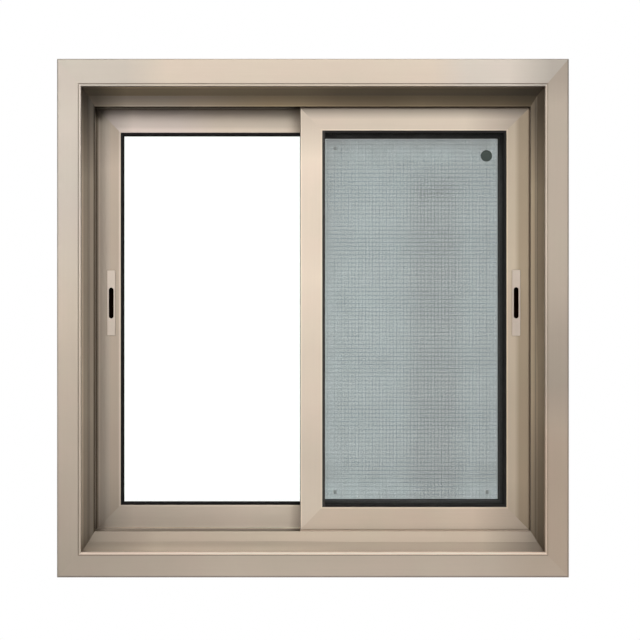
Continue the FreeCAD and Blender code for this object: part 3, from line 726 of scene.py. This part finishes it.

# Each length's coat is a lighter or darker copy of the same colour, with painted shade in its hollows and
# painted light and shade laid over it.
LENGTHS: dict[str, Length] = {
    # Painted shade in the groove and on the outer edge, then painted shade and tint on the left stretch, the
    # right stretch and the right end.
    "casing_head": Length(Pattern.ALONG_X, 1.08, stripes=(
        painted_stripe(0.34, up(1.1487, 1.1509)),
        painted_stripe(0.96, up(1.2055, 1.2200)),
        painted_stripe(0.877, across(-0.90, -0.34, 0.10), hue=(0.94, 1.0, 1.05)),
        painted_stripe(0.99, across(0.28, 0.90, 0.08), hue=(0.95, 1.0, 1.07)),
        painted_stripe(0.66, across(0.46, 0.90, 0.10)),
    )),
    # A painted highlight on the lip, painted shade in the groove and on the lower edge, then painted shade
    # on the left stretch and the right end.
    "casing_sill": Length(Pattern.ALONG_X, 1.13, stripes=(
        painted_stripe(1.76, up(0.0460, 0.0524), hue=(1.0, 0.96, 0.99)),
        painted_stripe(0.78, up(0.0438, 0.0458)),
        painted_stripe(0.52, up(-0.0200, -0.0028)),
        painted_stripe(0.75, across(-0.90, -0.18, 0.40)),
        painted_stripe(0.90, across(0.42, 0.90, 0.10), hue=(1.04, 1.0, 0.98)),
    )),
    # A painted highlight on the lip, painted shade in the groove and on the outer edge, then painted light
    # and shade on stretches of its height.
    "casing_left": Length(Pattern.ALONG_Z, 1.08, stripes=(
        painted_stripe(1.15, across(-0.5476, -0.5435)),
        painted_stripe(0.70, across(-0.5502, -0.5478)),
        painted_stripe(0.80, across(-0.6100, -0.5960)),
        painted_stripe(0.80, up(-0.40, 0.30, 0.30)),
        painted_stripe(1.04, up(0.50, 0.85, 0.10)),
        painted_stripe(0.955, up(0.62, 1.80, 0.25), hue=(0.955, 1.0, 1.06)),
        painted_stripe(0.92, up(1.06, 1.40, 0.10)),
    )),
    # Painted highlights on the lip and the groove, painted shade on the outer edge, then painted shade and
    # tint on stretches of its height.
    "casing_right": Length(Pattern.ALONG_Z, 0.95, stripes=(
        painted_stripe(1.32, across(0.5455, 0.5488)),
        painted_stripe(1.40, across(0.5488, 0.5512)),
        painted_stripe(0.66, across(0.5960, 0.6100)),
        painted_stripe(0.70, up(0.75, 1.70, 0.50)),
        painted_stripe(0.88, up(0.34, 0.66, 0.10)),
        painted_stripe(0.84, up(1.10, 1.40, 0.06)),
        painted_stripe(1.0, up(-0.40, 0.45, 0.15), hue=(1.07, 1.0, 0.96)),
    )),
    # Painted shade on the whole reveal, painted light and shade on its levels and a painted highlight on its
    # lower edge, and between them painted shade and tint on its ends and stretches.
    "frame_head": Length(Pattern.ALONG_X, 0.97, painted_shade_share=1.0, painted_shade_level=0.11, stripes=(
        painted_stripe(0.48, REVEAL, hue=(1.12, 1.0, 0.76)),
        painted_stripe(0.72, up(1.1262, 1.1500), REVEAL),
        painted_stripe(1.40, up(1.1020, 1.1045)),
        painted_stripe(0.36, across(-0.80, -0.44, 0.07), REVEAL),
        painted_stripe(1.90, up(1.1415, 1.1500, 0.0010), REVEAL),
        painted_stripe(0.76, up(1.1120, 1.1400, 0.0100), REVEAL),
        painted_stripe(1.30, up(1.0900, 1.1130, 0.0080), REVEAL),
        painted_stripe(1.0, up(1.0900, 1.1262), across(-0.70, -0.10, 0.25), REVEAL, hue=(0.96, 1.04, 1.32)),
        painted_stripe(0.42, across(-0.25, 1.30, 0.75), REVEAL),
        painted_stripe(0.60, across(0.44, 0.80, 0.12), REVEAL),
        painted_stripe(0.83, across(-0.02, 0.26, 0.08), REVEAL),
    )),
    # Painted shade on the whole reveal, painted light and shade on its levels on the left, then painted
    # shade at its left and right ends.
    "frame_sill": Length(Pattern.ALONG_X, 0.97, painted_shade_share=0.9, painted_shade_level=0.16, stripes=(
        painted_stripe(0.80, REVEAL, hue=(1.03, 1.0, 0.95)),
        painted_stripe(0.70, up(0.0725, 0.0745), across(-0.80, 0.10, 0.20)),
        painted_stripe(1.20, up(0.0400, 0.0660, 0.0080), across(-0.80, 0.10, 0.20), REVEAL),
        painted_stripe(0.80, across(-0.90, 0.0, 0.40), up(0.0745, 0.1200), REVEAL),
        painted_stripe(0.47, across(-0.90, -0.37, 0.18), REVEAL),
        painted_stripe(0.45, across(0.40, 0.80, 0.12), REVEAL),
    )),
    # Painted shade on the whole reveal, painted light and shade on its steps, then painted shade on its
    # upper and lower parts.
    "frame_jamb_left": Length(Pattern.ALONG_Z, 0.97, painted_shade_share=1.0, painted_shade_level=0.10, stripes=(
        painted_stripe(0.76, REVEAL, hue=(1.04, 1.0, 0.94)),
        painted_stripe(0.76, across(-0.5302, -0.5100), REVEAL),
        painted_stripe(0.26, across(-0.5195, -0.5000, 0.0020), deep(-0.02, 0.0712), hue=(1.15, 1.0, 0.76)),
        painted_stripe(1.80, across(-0.5450, -0.5390, 0.0030), REVEAL),
        painted_stripe(0.74, across(-0.5340, -0.5250, 0.0030), REVEAL),
        painted_stripe(0.16, up(0.93, 1.60, 0.19), REVEAL),
        painted_stripe(0.50, up(-0.40, 0.38, 0.32), REVEAL),
    )),
    # Painted shade on the whole reveal and its steps, then painted shade on its upper and lower parts.
    "frame_jamb_right": Length(Pattern.ALONG_Z, 0.97, painted_shade_share=1.0, painted_shade_level=0.11, stripes=(
        painted_stripe(0.74, REVEAL, hue=(1.08, 1.0, 0.84)),
        painted_stripe(0.76, across(0.5302, 0.5500), REVEAL),
        painted_stripe(0.80, across(0.5215, 0.5300, 0.0015)),
        painted_stripe(0.62, across(0.5255, 0.5285, 0.0006)),
        painted_stripe(0.62, across(0.5285, 0.5315, 0.0006), up(0.45, 1.20, 0.20)),
        painted_stripe(0.36, up(0.90, 1.60, 0.19), REVEAL),
        painted_stripe(0.47, up(-0.40, 0.42, 0.32), REVEAL),
    )),
    # A painted highlight on the glazing edge, the painted shadow of the frame's head along the top, and
    # painted shade at the right end.
    "front_sash_top_rail": Length(Pattern.ALONG_X, 1.10, stripes=(
        painted_stripe(1.22, up(1.0460, 1.0496)),
        painted_stripe(0.35, up(1.0730, 1.2000, 0.0260), FRONT_FACE),
        painted_stripe(0.48, across(0.36, 0.80, 0.15), FRONT_FACE),
    )),
    # Painted light on the whole face, painted highlights on the glazing edge and the lower edge, and painted
    # shade at the right end.
    "front_sash_bottom_rail": Length(Pattern.ALONG_X, 1.08, painted_shade_share=0.4, stripes=(
        painted_stripe(1.24, up(0.0, 0.2), FRONT_FACE),
        painted_stripe(1.12, up(0.1484, 0.1525)),
        painted_stripe(1.60, up(0.0900, 0.1003)),
        painted_stripe(0.62, across(0.38, 0.80, 0.12), FRONT_FACE),
        painted_stripe(1.0, FRONT_FACE, hue=(1.01, 0.98, 0.95)),
    )),
    # Painted light on the whole face, painted highlights and a painted shade line along its edges, then
    # painted shade at its top and painted light in its middle.
    "front_sash_meeting_stile": Length(Pattern.ALONG_Z, 1.10, stripes=(
        painted_stripe(1.34, across(-0.1, 0.1), FRONT_FACE),
        painted_stripe(1.10, across(0.0190, 0.0230)),
        painted_stripe(0.40, across(-0.0400, -0.0283, 0.0002)),
        painted_stripe(1.12, across(-0.0283, -0.0250)),
        painted_stripe(0.54, up(0.98, 1.40, 0.14)),
        painted_stripe(1.10, up(0.25, 0.86, 0.16)),
    )),
    # A painted highlight on the glazing edge and painted shade on the outer part, then a painted tint on the
    # whole face and painted light and shade on stretches of its height.
    "front_sash_lock_stile": Length(Pattern.ALONG_Z, 1.06, stripes=(
        painted_stripe(1.24, across(0.4600, 0.4636)),
        painted_stripe(0.65, across(0.4790, 0.5300, 0.012), FRONT_FACE, hue=(1.05, 1.0, 0.92)),
        painted_stripe(1.0, FRONT_FACE, hue=(1.02, 1.0, 0.93)),
        painted_stripe(1.10, up(0.60, 1.06, 0.10), FRONT_FACE),
        painted_stripe(0.66, up(0.60, 1.90, 0.50), FRONT_FACE),
        painted_stripe(0.80, up(-0.20, 0.22, 0.12), FRONT_FACE),
    )),
    # A painted highlight on the glazing edge, painted shade at the left end, and a cooler painted tint on
    # the stretch beside it.
    "rear_sash_top_rail": Length(Pattern.ALONG_X, 0.90, stripes=(
        painted_stripe(1.24, up(1.0300, 1.0610, 0.0100)),
        painted_stripe(0.44, across(-0.80, -0.43, 0.08), REAR_FACE),
        painted_stripe(1.0, across(-0.60, -0.22, 0.10), REAR_FACE, hue=(1.0, 1.0, 1.09)),
    )),
    # Painted light on the whole face, painted highlights on the glazing edge and the lower edge, and painted
    # shade towards the left end.
    "rear_sash_bottom_rail": Length(Pattern.ALONG_X, 1.16, painted_shade_share=0.3, stripes=(
        painted_stripe(1.20, up(0.0, 0.2), REAR_FACE),
        painted_stripe(1.15, up(0.1490, 0.1525)),
        painted_stripe(1.80, up(0.0900, 0.1000)),
        painted_stripe(0.62, across(-1.0, -0.15, 0.36), REAR_FACE),
        painted_stripe(0.66, across(-0.80, -0.43, 0.08), REAR_FACE),
    )),
    # A painted highlight on the glazing edge, painted light and shade on the parts beside it, then on
    # stretches of its height.
    "rear_sash_lock_stile": Length(Pattern.ALONG_Z, 0.98, stripes=(
        painted_stripe(1.25, across(-0.4636, -0.4600)),
        painted_stripe(0.82, across(-0.4880, -0.4630, 0.004), REAR_FACE, hue=(1.03, 1.0, 0.97)),
        painted_stripe(1.30, across(-0.5200, -0.5080, 0.003), REAR_FACE),
        painted_stripe(0.78, across(-0.5050, -0.4830, 0.006), REAR_FACE),
        painted_stripe(1.08, up(0.30, 0.78, 0.10), REAR_FACE),
        painted_stripe(0.55, up(0.96, 1.60, 0.14), REAR_FACE),
        painted_stripe(0.72, up(-0.20, 0.24, 0.14), REAR_FACE),
    )),
    "rear_sash_meeting_stile": Length(Pattern.ALONG_Z),
}


# Finishes of the object's own solids


class FinishStore:
    """Builds each finish once and hands out its material."""

    def __init__(self) -> None:
        """Start with nothing built."""
        self._built: dict[str, bpy.types.Material] = {}

    def material(self, finish: Finish) -> bpy.types.Material:
        """The material of a finish.

        Args:
            finish: The finish, which is built on first use.

        Returns:
            Its material.
        """
        if finish.name not in self._built:
            self._built[finish.name] = finish.build()
        return self._built[finish.name]


@dataclass
class SolidFinishes:
    """The finishes of the object's own solids."""

    finishes: FinishStore

    @staticmethod
    def finish_of(name: str, slot: str) -> Finish:
        """The coat of a length, or else a node's own finish, or else its slot's."""
        return LENGTHS[name].finish(name) if name in LENGTHS else OWN_FINISHES.get(name) or FINISHES[slot]

    def build(self) -> None:
        """Give every solid its finish."""
        slots = {part["node"]: part["material_slot"] for part in frame["record"]["subparts"]}
        for name, node in frame["nodes"].items():
            finish = self.finish_of(name, slots[name])
            node.data.materials.clear()
            node.data.materials.append(self.finishes.material(finish))
            LOG.info("%s: %s", name, finish.name)


# Modelling


class Bench:
    """The modelling steps that the new pieces share."""

    @staticmethod
    def clear_selection() -> None:
        """Leave edit mode and deselect every object."""
        if bpy.context.object and bpy.context.object.mode != "OBJECT":
            bpy.ops.object.mode_set(mode="OBJECT")
        bpy.ops.object.select_all(action="DESELECT")

    @staticmethod
    def take(piece: bpy.types.Object) -> None:
        """Select one object alone and make it active.

        Args:
            piece: The object to select.
        """
        Bench.clear_selection()
        piece.select_set(True)
        bpy.context.view_layer.objects.active = piece

    @staticmethod
    def pick_faces(piece: bpy.types.Object, test: Callable[[bpy.types.MeshPolygon], bool]) -> None:
        """Go to edit mode with only the faces selected that pass a test.

        Args:
            piece: The object that is being modelled.
            test: Says of a face whether it is wanted.
        """
        Bench.take(piece)
        bpy.ops.object.mode_set(mode="EDIT")
        bpy.ops.mesh.select_mode(type="FACE")
        bpy.ops.mesh.select_all(action="DESELECT")
        bpy.ops.object.mode_set(mode="OBJECT")
        for face in piece.data.polygons:
            face.select = bool(test(face))
        bpy.ops.object.mode_set(mode="EDIT")

    @staticmethod
    def leave_edit() -> None:
        """Go back to object mode."""
        bpy.ops.object.mode_set(mode="OBJECT")

    @staticmethod
    def apply_modifier(piece: bpy.types.Object, kind: str, **settings: Any) -> None:
        """Add a modifier, set it up and apply it.

        Args:
            piece: The object that it acts on.
            kind: The modifier's type.
            settings: Its properties.
        """
        Bench.take(piece)
        modifier = piece.modifiers.new(kind.lower(), kind)
        for key, value in settings.items():
            setattr(modifier, key, value)
        bpy.ops.object.modifier_apply(modifier=modifier.name)

    @staticmethod
    def bevel(piece: bpy.types.Object, width: float, segments: int, degrees: float) -> None:
        """Round the edges that turn by more than an angle."""
        Bench.apply_modifier(piece, "BEVEL", width=width, segments=segments, limit_method="ANGLE",
                             angle_limit=math.radians(degrees))

    @staticmethod
    def settle(piece: bpy.types.Object) -> None:
        """Put the object's place into its mesh, so that the object sits at the origin."""
        Bench.take(piece)
        bpy.ops.object.transform_apply(location=True, rotation=True, scale=True)

    @staticmethod
    def copy(piece: bpy.types.Object, name: str, offset: Point) -> bpy.types.Object:
        """A copy with its own mesh, moved by an offset inside that mesh.

        Args:
            piece: The object that is copied.
            name: The copy's name.
            offset: How far the copy's mesh is moved, in metres.

        Returns:
            The copy.
        """
        double = piece.copy()
        double.data = piece.data.copy()
        double.name = name
        bpy.context.scene.collection.objects.link(double)
        double.location = Vector(offset)
        Bench.settle(double)
        return double

    @staticmethod
    def repeat(first: bpy.types.Object, name: str, offsets: Sequence[Point]) -> list[bpy.types.Object]:
        """A piece and its copies, numbered from 2, one at each offset from it."""
        return [first] + [Bench.copy(first, f"{name}_{number}", offset)
                          for number, offset in enumerate(offsets, start=2)]

    @staticmethod
    def join(pieces: Sequence[bpy.types.Object], name: str) -> bpy.types.Object:
        """Join several objects into the first.

        Args:
            pieces: The objects, of which the first stays.
            name: The joined object's name.

        Returns:
            The joined object.
        """
        Bench.take(pieces[0])
        for piece in pieces[1:]:
            piece.select_set(True)
        bpy.ops.object.join()
        pieces[0].name = name
        return pieces[0]

    @staticmethod
    def smooth(piece: bpy.types.Object, degrees: float) -> None:
        """Shade the edges smooth that turn by less than an angle, and keep the others hard."""
        Bench.take(piece)
        bpy.ops.object.shade_smooth_by_angle(angle=math.radians(degrees))

    @staticmethod
    def fit(piece: bpy.types.Object, slot: str, material: bpy.types.Material) -> None:
        """Give a finished piece its material and body, and report it.

        Args:
            piece: The finished piece.
            slot: The record's material slot. It is not used.
            material: What it is made of.
        """
        piece.data.materials.clear()
        piece.data.materials.append(material)
        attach(piece, "root")
        LOG.info("%s: %d faces", piece.name, len(piece.data.polygons))


@dataclass(frozen=True)
class WireLayer:
    """A layer of parallel wires: half of a wire's width, half of a rib's, and the distance between wires."""

    direction: Direction
    radius: float
    rib_radius: float
    pitch: float


@dataclass
class WireCloth:
    """The screen's wire cloth: a layer of upright wires in front of a layer of level ones."""

    finishes: FinishStore
    upright: WireLayer = WireLayer(Direction.UPRIGHT, radius=0.00053, rib_radius=0.00069, pitch=0.0021)
    level: WireLayer = WireLayer(Direction.LEVEL, radius=0.00060, rib_radius=0.00088, pitch=0.002475)
    wires_per_rib: int = 4
    half_depth: float = 0.00044
    edge: float = 0.002
    sides: int = 6
    end_rounding: float = 0.3
    smooth_angle: float = 70.0

    def row(self, layer: WireLayer, index: int, depth: float, low: Vector, high: Vector) -> bpy.types.Object:
        """Flattened wires of a layer, one out of each set from rib to rib.

        Args:
            layer: The layer that they are in.
            index: Which wire of each set they are. The first, of index 0, is the rib.
            depth: The layer's place along Y.
            low: The lowest corner of the cloth.
            high: The highest corner of the cloth.

        Returns:
            The wires as one object.
        """
        upright = layer.direction is Direction.UPRIGHT
        radius = layer.radius if index else layer.rib_radius
        flatness = self.half_depth / radius
        width, height = high.x - low.x, high.z - low.z
        middle = (low + high) / 2
        start = self.edge + index * layer.pitch
        place = (low.x + start, depth, middle.z) if upright else (middle.x, depth, low.z + start)
        turn = (0.0, 0.0, math.pi / self.sides) if upright else (0.0, math.pi / 2, 0.0)
        axis = Vector((0.0, 0.0, 1.0)) if upright else Vector((1.0, 0.0, 0.0))
        length = (height if upright else width) - 2 * self.edge
        Bench.clear_selection()
        bpy.ops.mesh.primitive_cylinder_add(vertices=self.sides, radius=radius, depth=length,
                                            location=place, rotation=turn)
        wire = bpy.context.object
        Bench.settle(wire)
        wire.location = (0.0, depth * (1 - flatness), 0.0)
        wire.scale = (1.0, flatness, 1.0)
        Bench.settle(wire)
        rounding = self.half_depth * self.end_rounding
        Bench.pick_faces(wire, lambda face: abs(face.normal.dot(axis)) > FACING)
        bpy.ops.mesh.inset(thickness=rounding, depth=rounding)
        Bench.leave_edit()
        step = layer.pitch * self.wires_per_rib
        room = (width if upright else height) - start - self.edge
        shift = (step, 0.0, 0.0) if upright else (0.0, 0.0, step)
        Bench.apply_modifier(wire, "ARRAY", use_relative_offset=False, use_constant_offset=True,
                             constant_offset_displace=shift, count=int(room / step) + 1)
        return wire

    def build(self) -> None:
        """Make the cloth and put it in the place of the plain sheet."""
        low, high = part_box("screen_mesh")
        front = low.y + self.half_depth + TOUCH
        back = high.y - self.half_depth - TOUCH
        rows = [self.row(layer, index, depth, low, high)
                for layer, depth in ((self.upright, front), (self.level, back))
                for index in range(self.wires_per_rib)]
        cloth = Bench.join(rows, "screen_wire_cloth")
        Bench.smooth(cloth, self.smooth_angle)
        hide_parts("screen_mesh")
        Bench.fit(cloth, "mesh", self.finishes.material(FINISHES["mesh"]))


@dataclass
class GlassFittings:
    """A plain round cap near the glass's top corner, and small soft pads near its other corners.

    Their insets are distances from the glass's left and lower edges, or where they are negative, from its
    right and upper ones. The cap's steps are insets of its front face, each with the height that it adds.
    """

    finishes: FinishStore
    cap_inset: Pair = (-0.0593, -0.0716)
    cap_radius: float = 0.0135
    cap_height: float = 0.0030
    cap_sides: int = 64
    cap_steps: Pairs = ((0.0014, 0.0), (0.0006, -0.0008), (0.0030, 0.0005), (0.0035, 0.0003))
    cap_edge: float = 0.0003
    pad_insets: Pairs = ((0.0425, -0.0535), (0.0425, 0.0475), (-0.0575, 0.0475))
    pad_size: Pair = (0.0075, 0.0085)
    pad_height: float = 0.0012
    pad_border: float = 0.0008
    pad_crown: float = 0.0003
    pad_edge: float = 0.0004
    smooth_angle: float = 40.0

    @staticmethod
    def place(inset: Pair) -> Point:
        """The place on the glass's room side that an inset gives.

        Args:
            inset: The distances along X and Z.

        Returns:
            The place.
        """
        low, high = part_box("front_sash_glass")
        return ((low.x if inset[0] > 0 else high.x) + inset[0], low.y,
                (low.z if inset[1] > 0 else high.z) + inset[1])

    @staticmethod
    def pick_front(piece: bpy.types.Object, front: float) -> None:
        """Go to edit mode with only the faces selected that lie at one depth."""
        Bench.pick_faces(piece, lambda face: abs(face.center.y - front) < TOUCH)

    def cap(self) -> None:
        """The round cap, with a raised rim and a low dome."""
        x, y, z = self.place(self.cap_inset)
        Bench.clear_selection()
        bpy.ops.mesh.primitive_cylinder_add(vertices=self.cap_sides, radius=self.cap_radius,
                                            depth=self.cap_height, location=(x, y - self.cap_height / 2, z),
                                            rotation=(math.pi / 2, 0.0, 0.0))
        cap = bpy.context.object
        cap.name = "glass_round_cap"
        Bench.settle(cap)
        self.pick_front(cap, y - self.cap_height)
        for thickness, rise in self.cap_steps:
            bpy.ops.mesh.inset(thickness=thickness, depth=rise)
        Bench.leave_edit()
        Bench.bevel(cap, self.cap_edge, segments=2, degrees=40.0)
        Bench.smooth(cap, self.smooth_angle)
        Bench.fit(cap, "bead", self.finishes.material(CAP_PLASTIC))

    def pads(self) -> None:
        """The small rounded pads, modelled once and copied."""
        places = [self.place(inset) for inset in self.pad_insets]
        x, y, z = places[0]
        Bench.clear_selection()
        bpy.ops.mesh.primitive_cube_add(size=1.0, location=(x, y - self.pad_height / 2, z))
        pad = bpy.context.object
        pad.name = "glass_corner_pad_1"
        pad.scale = (self.pad_size[0], self.pad_height, self.pad_size[1])
        Bench.settle(pad)
        self.pick_front(pad, y - self.pad_height)
        bpy.ops.mesh.inset(thickness=self.pad_border, depth=0.0)
        bpy.ops.transform.translate(value=(0.0, -self.pad_crown, 0.0))
        Bench.leave_edit()
        Bench.bevel(pad, self.pad_edge, segments=3, degrees=30.0)
        Bench.smooth(pad, self.smooth_angle)
        offsets = [(other[0] - x, 0.0, other[2] - z) for other in places[1:]]
        for piece in Bench.repeat(pad, "glass_corner_pad", offsets):
            Bench.fit(piece, "bead", self.finishes.material(PAD_PLASTIC))

    def build(self) -> None:
        """Make the fittings on the room side of the front sash's glass."""
        self.cap()
        self.pads()


@dataclass
class CornerScrews:
    """The cross-recessed screws that hold the head and the sill to the jambs."""

    finishes: FinishStore
    head_radius: float = 0.0042
    head_height: float = 0.0024
    head_sides: int = 32
    head_edge: float = 0.0009
    recess_width: float = 0.0011
    recess_length: float = 0.0046
    recess_depth: float = 0.0015
    from_end: float = 0.017
    depths: tuple[float, ...] = (0.014, 0.0855, 0.126)
    smooth_angle: float = 30.0

    def screw(self, place: Point, name: str) -> bpy.types.Object:
        """One pan-head screw that stands on a face pointing up.

        Args:
            place: The middle of the head's seat.
            name: The piece's name.

        Returns:
            The screw.
        """
        x, y, z = place
        Bench.clear_selection()
        bpy.ops.mesh.primitive_cylinder_add(vertices=self.head_sides, radius=self.head_radius,
                                            depth=self.head_height,
                                            location=(x, y, z + self.head_height / 2))
        screw = bpy.context.object
        screw.name = name
        Bench.settle(screw)
        Bench.bevel(screw, self.head_edge, segments=4, degrees=60.0)
        for size in ((self.recess_length, self.recess_width), (self.recess_width, self.recess_length)):
            Bench.clear_selection()
            bpy.ops.mesh.primitive_cube_add(size=1.0, location=(x, y, z + self.head_height))
            cutter = bpy.context.object
            cutter.scale = (*size, 2 * self.recess_depth)
            Bench.settle(cutter)
            Bench.apply_modifier(screw, "BOOLEAN", operation="DIFFERENCE", object=cutter, solver="EXACT")
            bpy.data.objects.remove(cutter, do_unlink=True)
        Bench.smooth(screw, self.smooth_angle)
        return screw

    def build(self) -> None:
        """Make the screws on the head's top and, turned over, on the sill's underside."""
        low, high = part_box("frame_head")
        sill_low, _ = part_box("frame_sill")
        left, near = low.x + self.from_end, self.depths[0]
        places = [(x, y) for x in (left, -left) for y in self.depths]
        offsets = [(x - left, y - near, 0.0) for x, y in places[1:]]
        first = self.screw((left, near, high.z), "frame_screw_head_1")
        screws = Bench.repeat(first, "frame_screw_head", offsets)
        turned = Bench.copy(first, "frame_screw_sill_1", (0.0, 0.0, -high.z))
        turned.rotation_euler = (math.pi, 0.0, 0.0)
        Bench.settle(turned)
        turned.location = (0.0, 2 * near, sill_low.z)
        Bench.settle(turned)
        screws += Bench.repeat(turned, "frame_screw_sill", offsets)
        for screw in screws:
            Bench.fit(screw, "carriage", self.finishes.material(SCREW_STEEL))


# Camera, lamps and surroundings


@dataclass(frozen=True)
class Lamp:
    """A soft square lamp: its place, the length of its side, its power in watts and what it points at.

    Where it isn't mirrored, glossy and clear surfaces don't show it.
    """

    name: str
    place: Point
    size: float
    power: float
    target: Point = (0.0, 0.0, 0.6)
    mirrored: bool = True

    def build(self) -> None:
        """Make the lamp and put it in the scene."""
        data = bpy.data.lights.new(self.name, "AREA")
        data.shape = "SQUARE"
        data.size = self.size
        data.energy = self.power
        lamp = bpy.data.objects.new(self.name, data)
        lamp.location = self.place
        lamp.visible_glossy = self.mirrored
        lamp.visible_transmission = self.mirrored
        lamp.rotation_euler = (Vector(self.target) - Vector(self.place)).to_track_quat("-Z", "Y").to_euler()
        bpy.context.scene.collection.objects.link(lamp)
        LOG.info("%s: %g W", self.name, self.power)


LAMPS = (
    Lamp("left_high_lamp", (-1.6, -3.4, 2.4), 1.2, 14.0),
    Lamp("left_lamp", (-1.7, -3.4, 1.6), 1.2, 22.0),
    Lamp("left_low_lamp", (-1.9, -3.2, 0.7), 1.0, 11.0),
    Lamp("high_lamp", (0.0, -3.4, 3.0), 1.2, 37.0),
    Lamp("right_high_lamp", (1.6, -3.4, 2.4), 1.2, 34.0),
    Lamp("right_low_lamp", (1.9, -3.2, 0.7), 1.0, 9.0),
    Lamp("far_lamp", (1.2, -4.0, 4.2), 1.2, 28.0),
    Lamp("outdoor_lamp", (0.9, 3.0, 2.4), 2.0, 75.0, (0.0, 0.1, 0.6), mirrored=False),
    Lamp("left_side_lamp", (-2.8, 0.55, 1.2), 0.9, 24.0, (-0.6, 0.1, 0.6), mirrored=False),
    Lamp("right_side_lamp", (2.8, 0.55, 1.2), 0.9, 24.0, (0.6, 0.1, 0.6), mirrored=False),
)


@dataclass
class Studio:
    """The camera, the lamps, the pale floor and the white surroundings."""

    camera_place: Point = (-0.0538, -3.464, 0.599)
    lens: float = 82.84
    sensor: float = 36.0
    shift_x: float = 0.0469
    shift_y: float = -0.0016
    camera_reach: float = 50.0
    floor_place: Point = (0.0, 0.06, -0.42)
    floor_radius: float = 1.3
    floor_sides: int = 96
    floor_colour: Colour = (0.86, 0.86, 0.86)
    floor_roughness: float = 0.9
    floor_fade: Pairs = ((0.12, 1.0), (0.50, 0.55))
    ambient: float = 0.03
    front_gloss: float = 0.04
    sky_through: float = 1.22
    sky_edge: Pair = (-0.1, 0.4)

    def camera(self) -> None:
        """Put the camera where the photograph was taken."""
        data = bpy.data.cameras.new("camera")
        data.lens = self.lens
        data.sensor_width = self.sensor
        data.shift_x = self.shift_x
        data.shift_y = self.shift_y
        data.clip_end = self.camera_reach
        camera = bpy.data.objects.new("camera", data)
        camera.location = self.camera_place
        camera.rotation_euler = (math.pi / 2, 0.0, 0.0)
        bpy.context.scene.collection.objects.link(camera)
        bpy.context.scene.camera = camera

    def floor(self) -> None:
        """A pale round floor that keeps the object's shadow and fades to white at its rim."""
        Bench.clear_selection()
        bpy.ops.mesh.primitive_circle_add(vertices=self.floor_sides, radius=self.floor_radius,
                                          fill_type="NGON", location=self.floor_place)
        floor = bpy.context.object
        floor.name = "floor"
        tree = FinishTree("pale_floor")
        ball = tree.node("ShaderNodeTexGradient", settings={"gradient_type": "SPHERICAL"}, inputs={
            "Vector": tree.place((1 / self.floor_radius,) * 3)})
        near = tree.steps(tree.signal(ball, "Fac"), self.floor_fade)
        path = tree.node("ShaderNodeLightPath")
        seen = tree.signal(path, "Is Camera Ray").over(tree.signal(path, "Is Glossy Ray"))
        seen = seen.over(tree.signal(path, "Is Transmission Ray"))
        paper = tree.node("ShaderNodeBsdfPrincipled", inputs={
            "Base Color": self.floor_colour, "Roughness": self.floor_roughness})
        glow = tree.node("ShaderNodeEmission", inputs={"Color": WHITE, "Strength": 1.0})
        mix = tree.node("ShaderNodeMixShader", inputs={
            0: seen * near, 1: paper.outputs[0], 2: glow.outputs[0]})
        floor.data.materials.append(tree.close(mix.outputs[0]))

    def surroundings(self) -> None:
        """A world that is white to look at, also through glass, dim in reflections, and a weak light."""
        tree = ShaderTree(bpy.data.worlds.new("surroundings"), "ShaderNodeOutputWorld")
        path = tree.node("ShaderNodeLightPath")
        looked_at = tree.signal(path, "Is Camera Ray")
        through = tree.signal(path, "Is Transmission Ray")
        passed_on = tree.signal(path, "Is Glossy Ray").over(through)
        where = tree.node("ShaderNodeTexCoord")
        split = tree.node("ShaderNodeSeparateXYZ", inputs={0: where.outputs["Generated"]})
        outdoors = tree.node("ShaderNodeMapRange", settings={"interpolation_type": "SMOOTHSTEP"}, inputs={
            "Value": split.outputs["Y"], "From Min": self.sky_edge[0], "From Max": self.sky_edge[1],
            "To Min": self.front_gloss, "To Max": self.sky_through})
        straight = through * (1 - tree.signal(path, "Glossy Depth").clamped())
        seen = looked_at.over(straight * self.sky_through).over(passed_on * tree.signal(outdoors, "Result"))
        strength = seen.over((1 - looked_at.over(passed_on)) * self.ambient)
        sky = tree.node("ShaderNodeBackground", inputs={"Color": WHITE, "Strength": strength})
        bpy.context.scene.world = tree.close(sky.outputs[0])

    def build(self) -> None:
        """Set up the whole studio."""
        bpy.context.scene.view_settings.view_transform = "Standard"
        self.camera()
        for lamp in LAMPS:
            lamp.build()
        self.floor()
        self.surroundings()
        LOG.info("studio ready")


def main() -> None:
    """Build the classes in order."""
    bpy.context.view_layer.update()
    finishes = FinishStore()
    SolidFinishes(finishes).build()
    WireCloth(finishes).build()
    GlassFittings(finishes).build()
    CornerScrews(finishes).build()
    Studio().build()
    Bench.clear_selection()


if __name__ == "__main__":
    main()
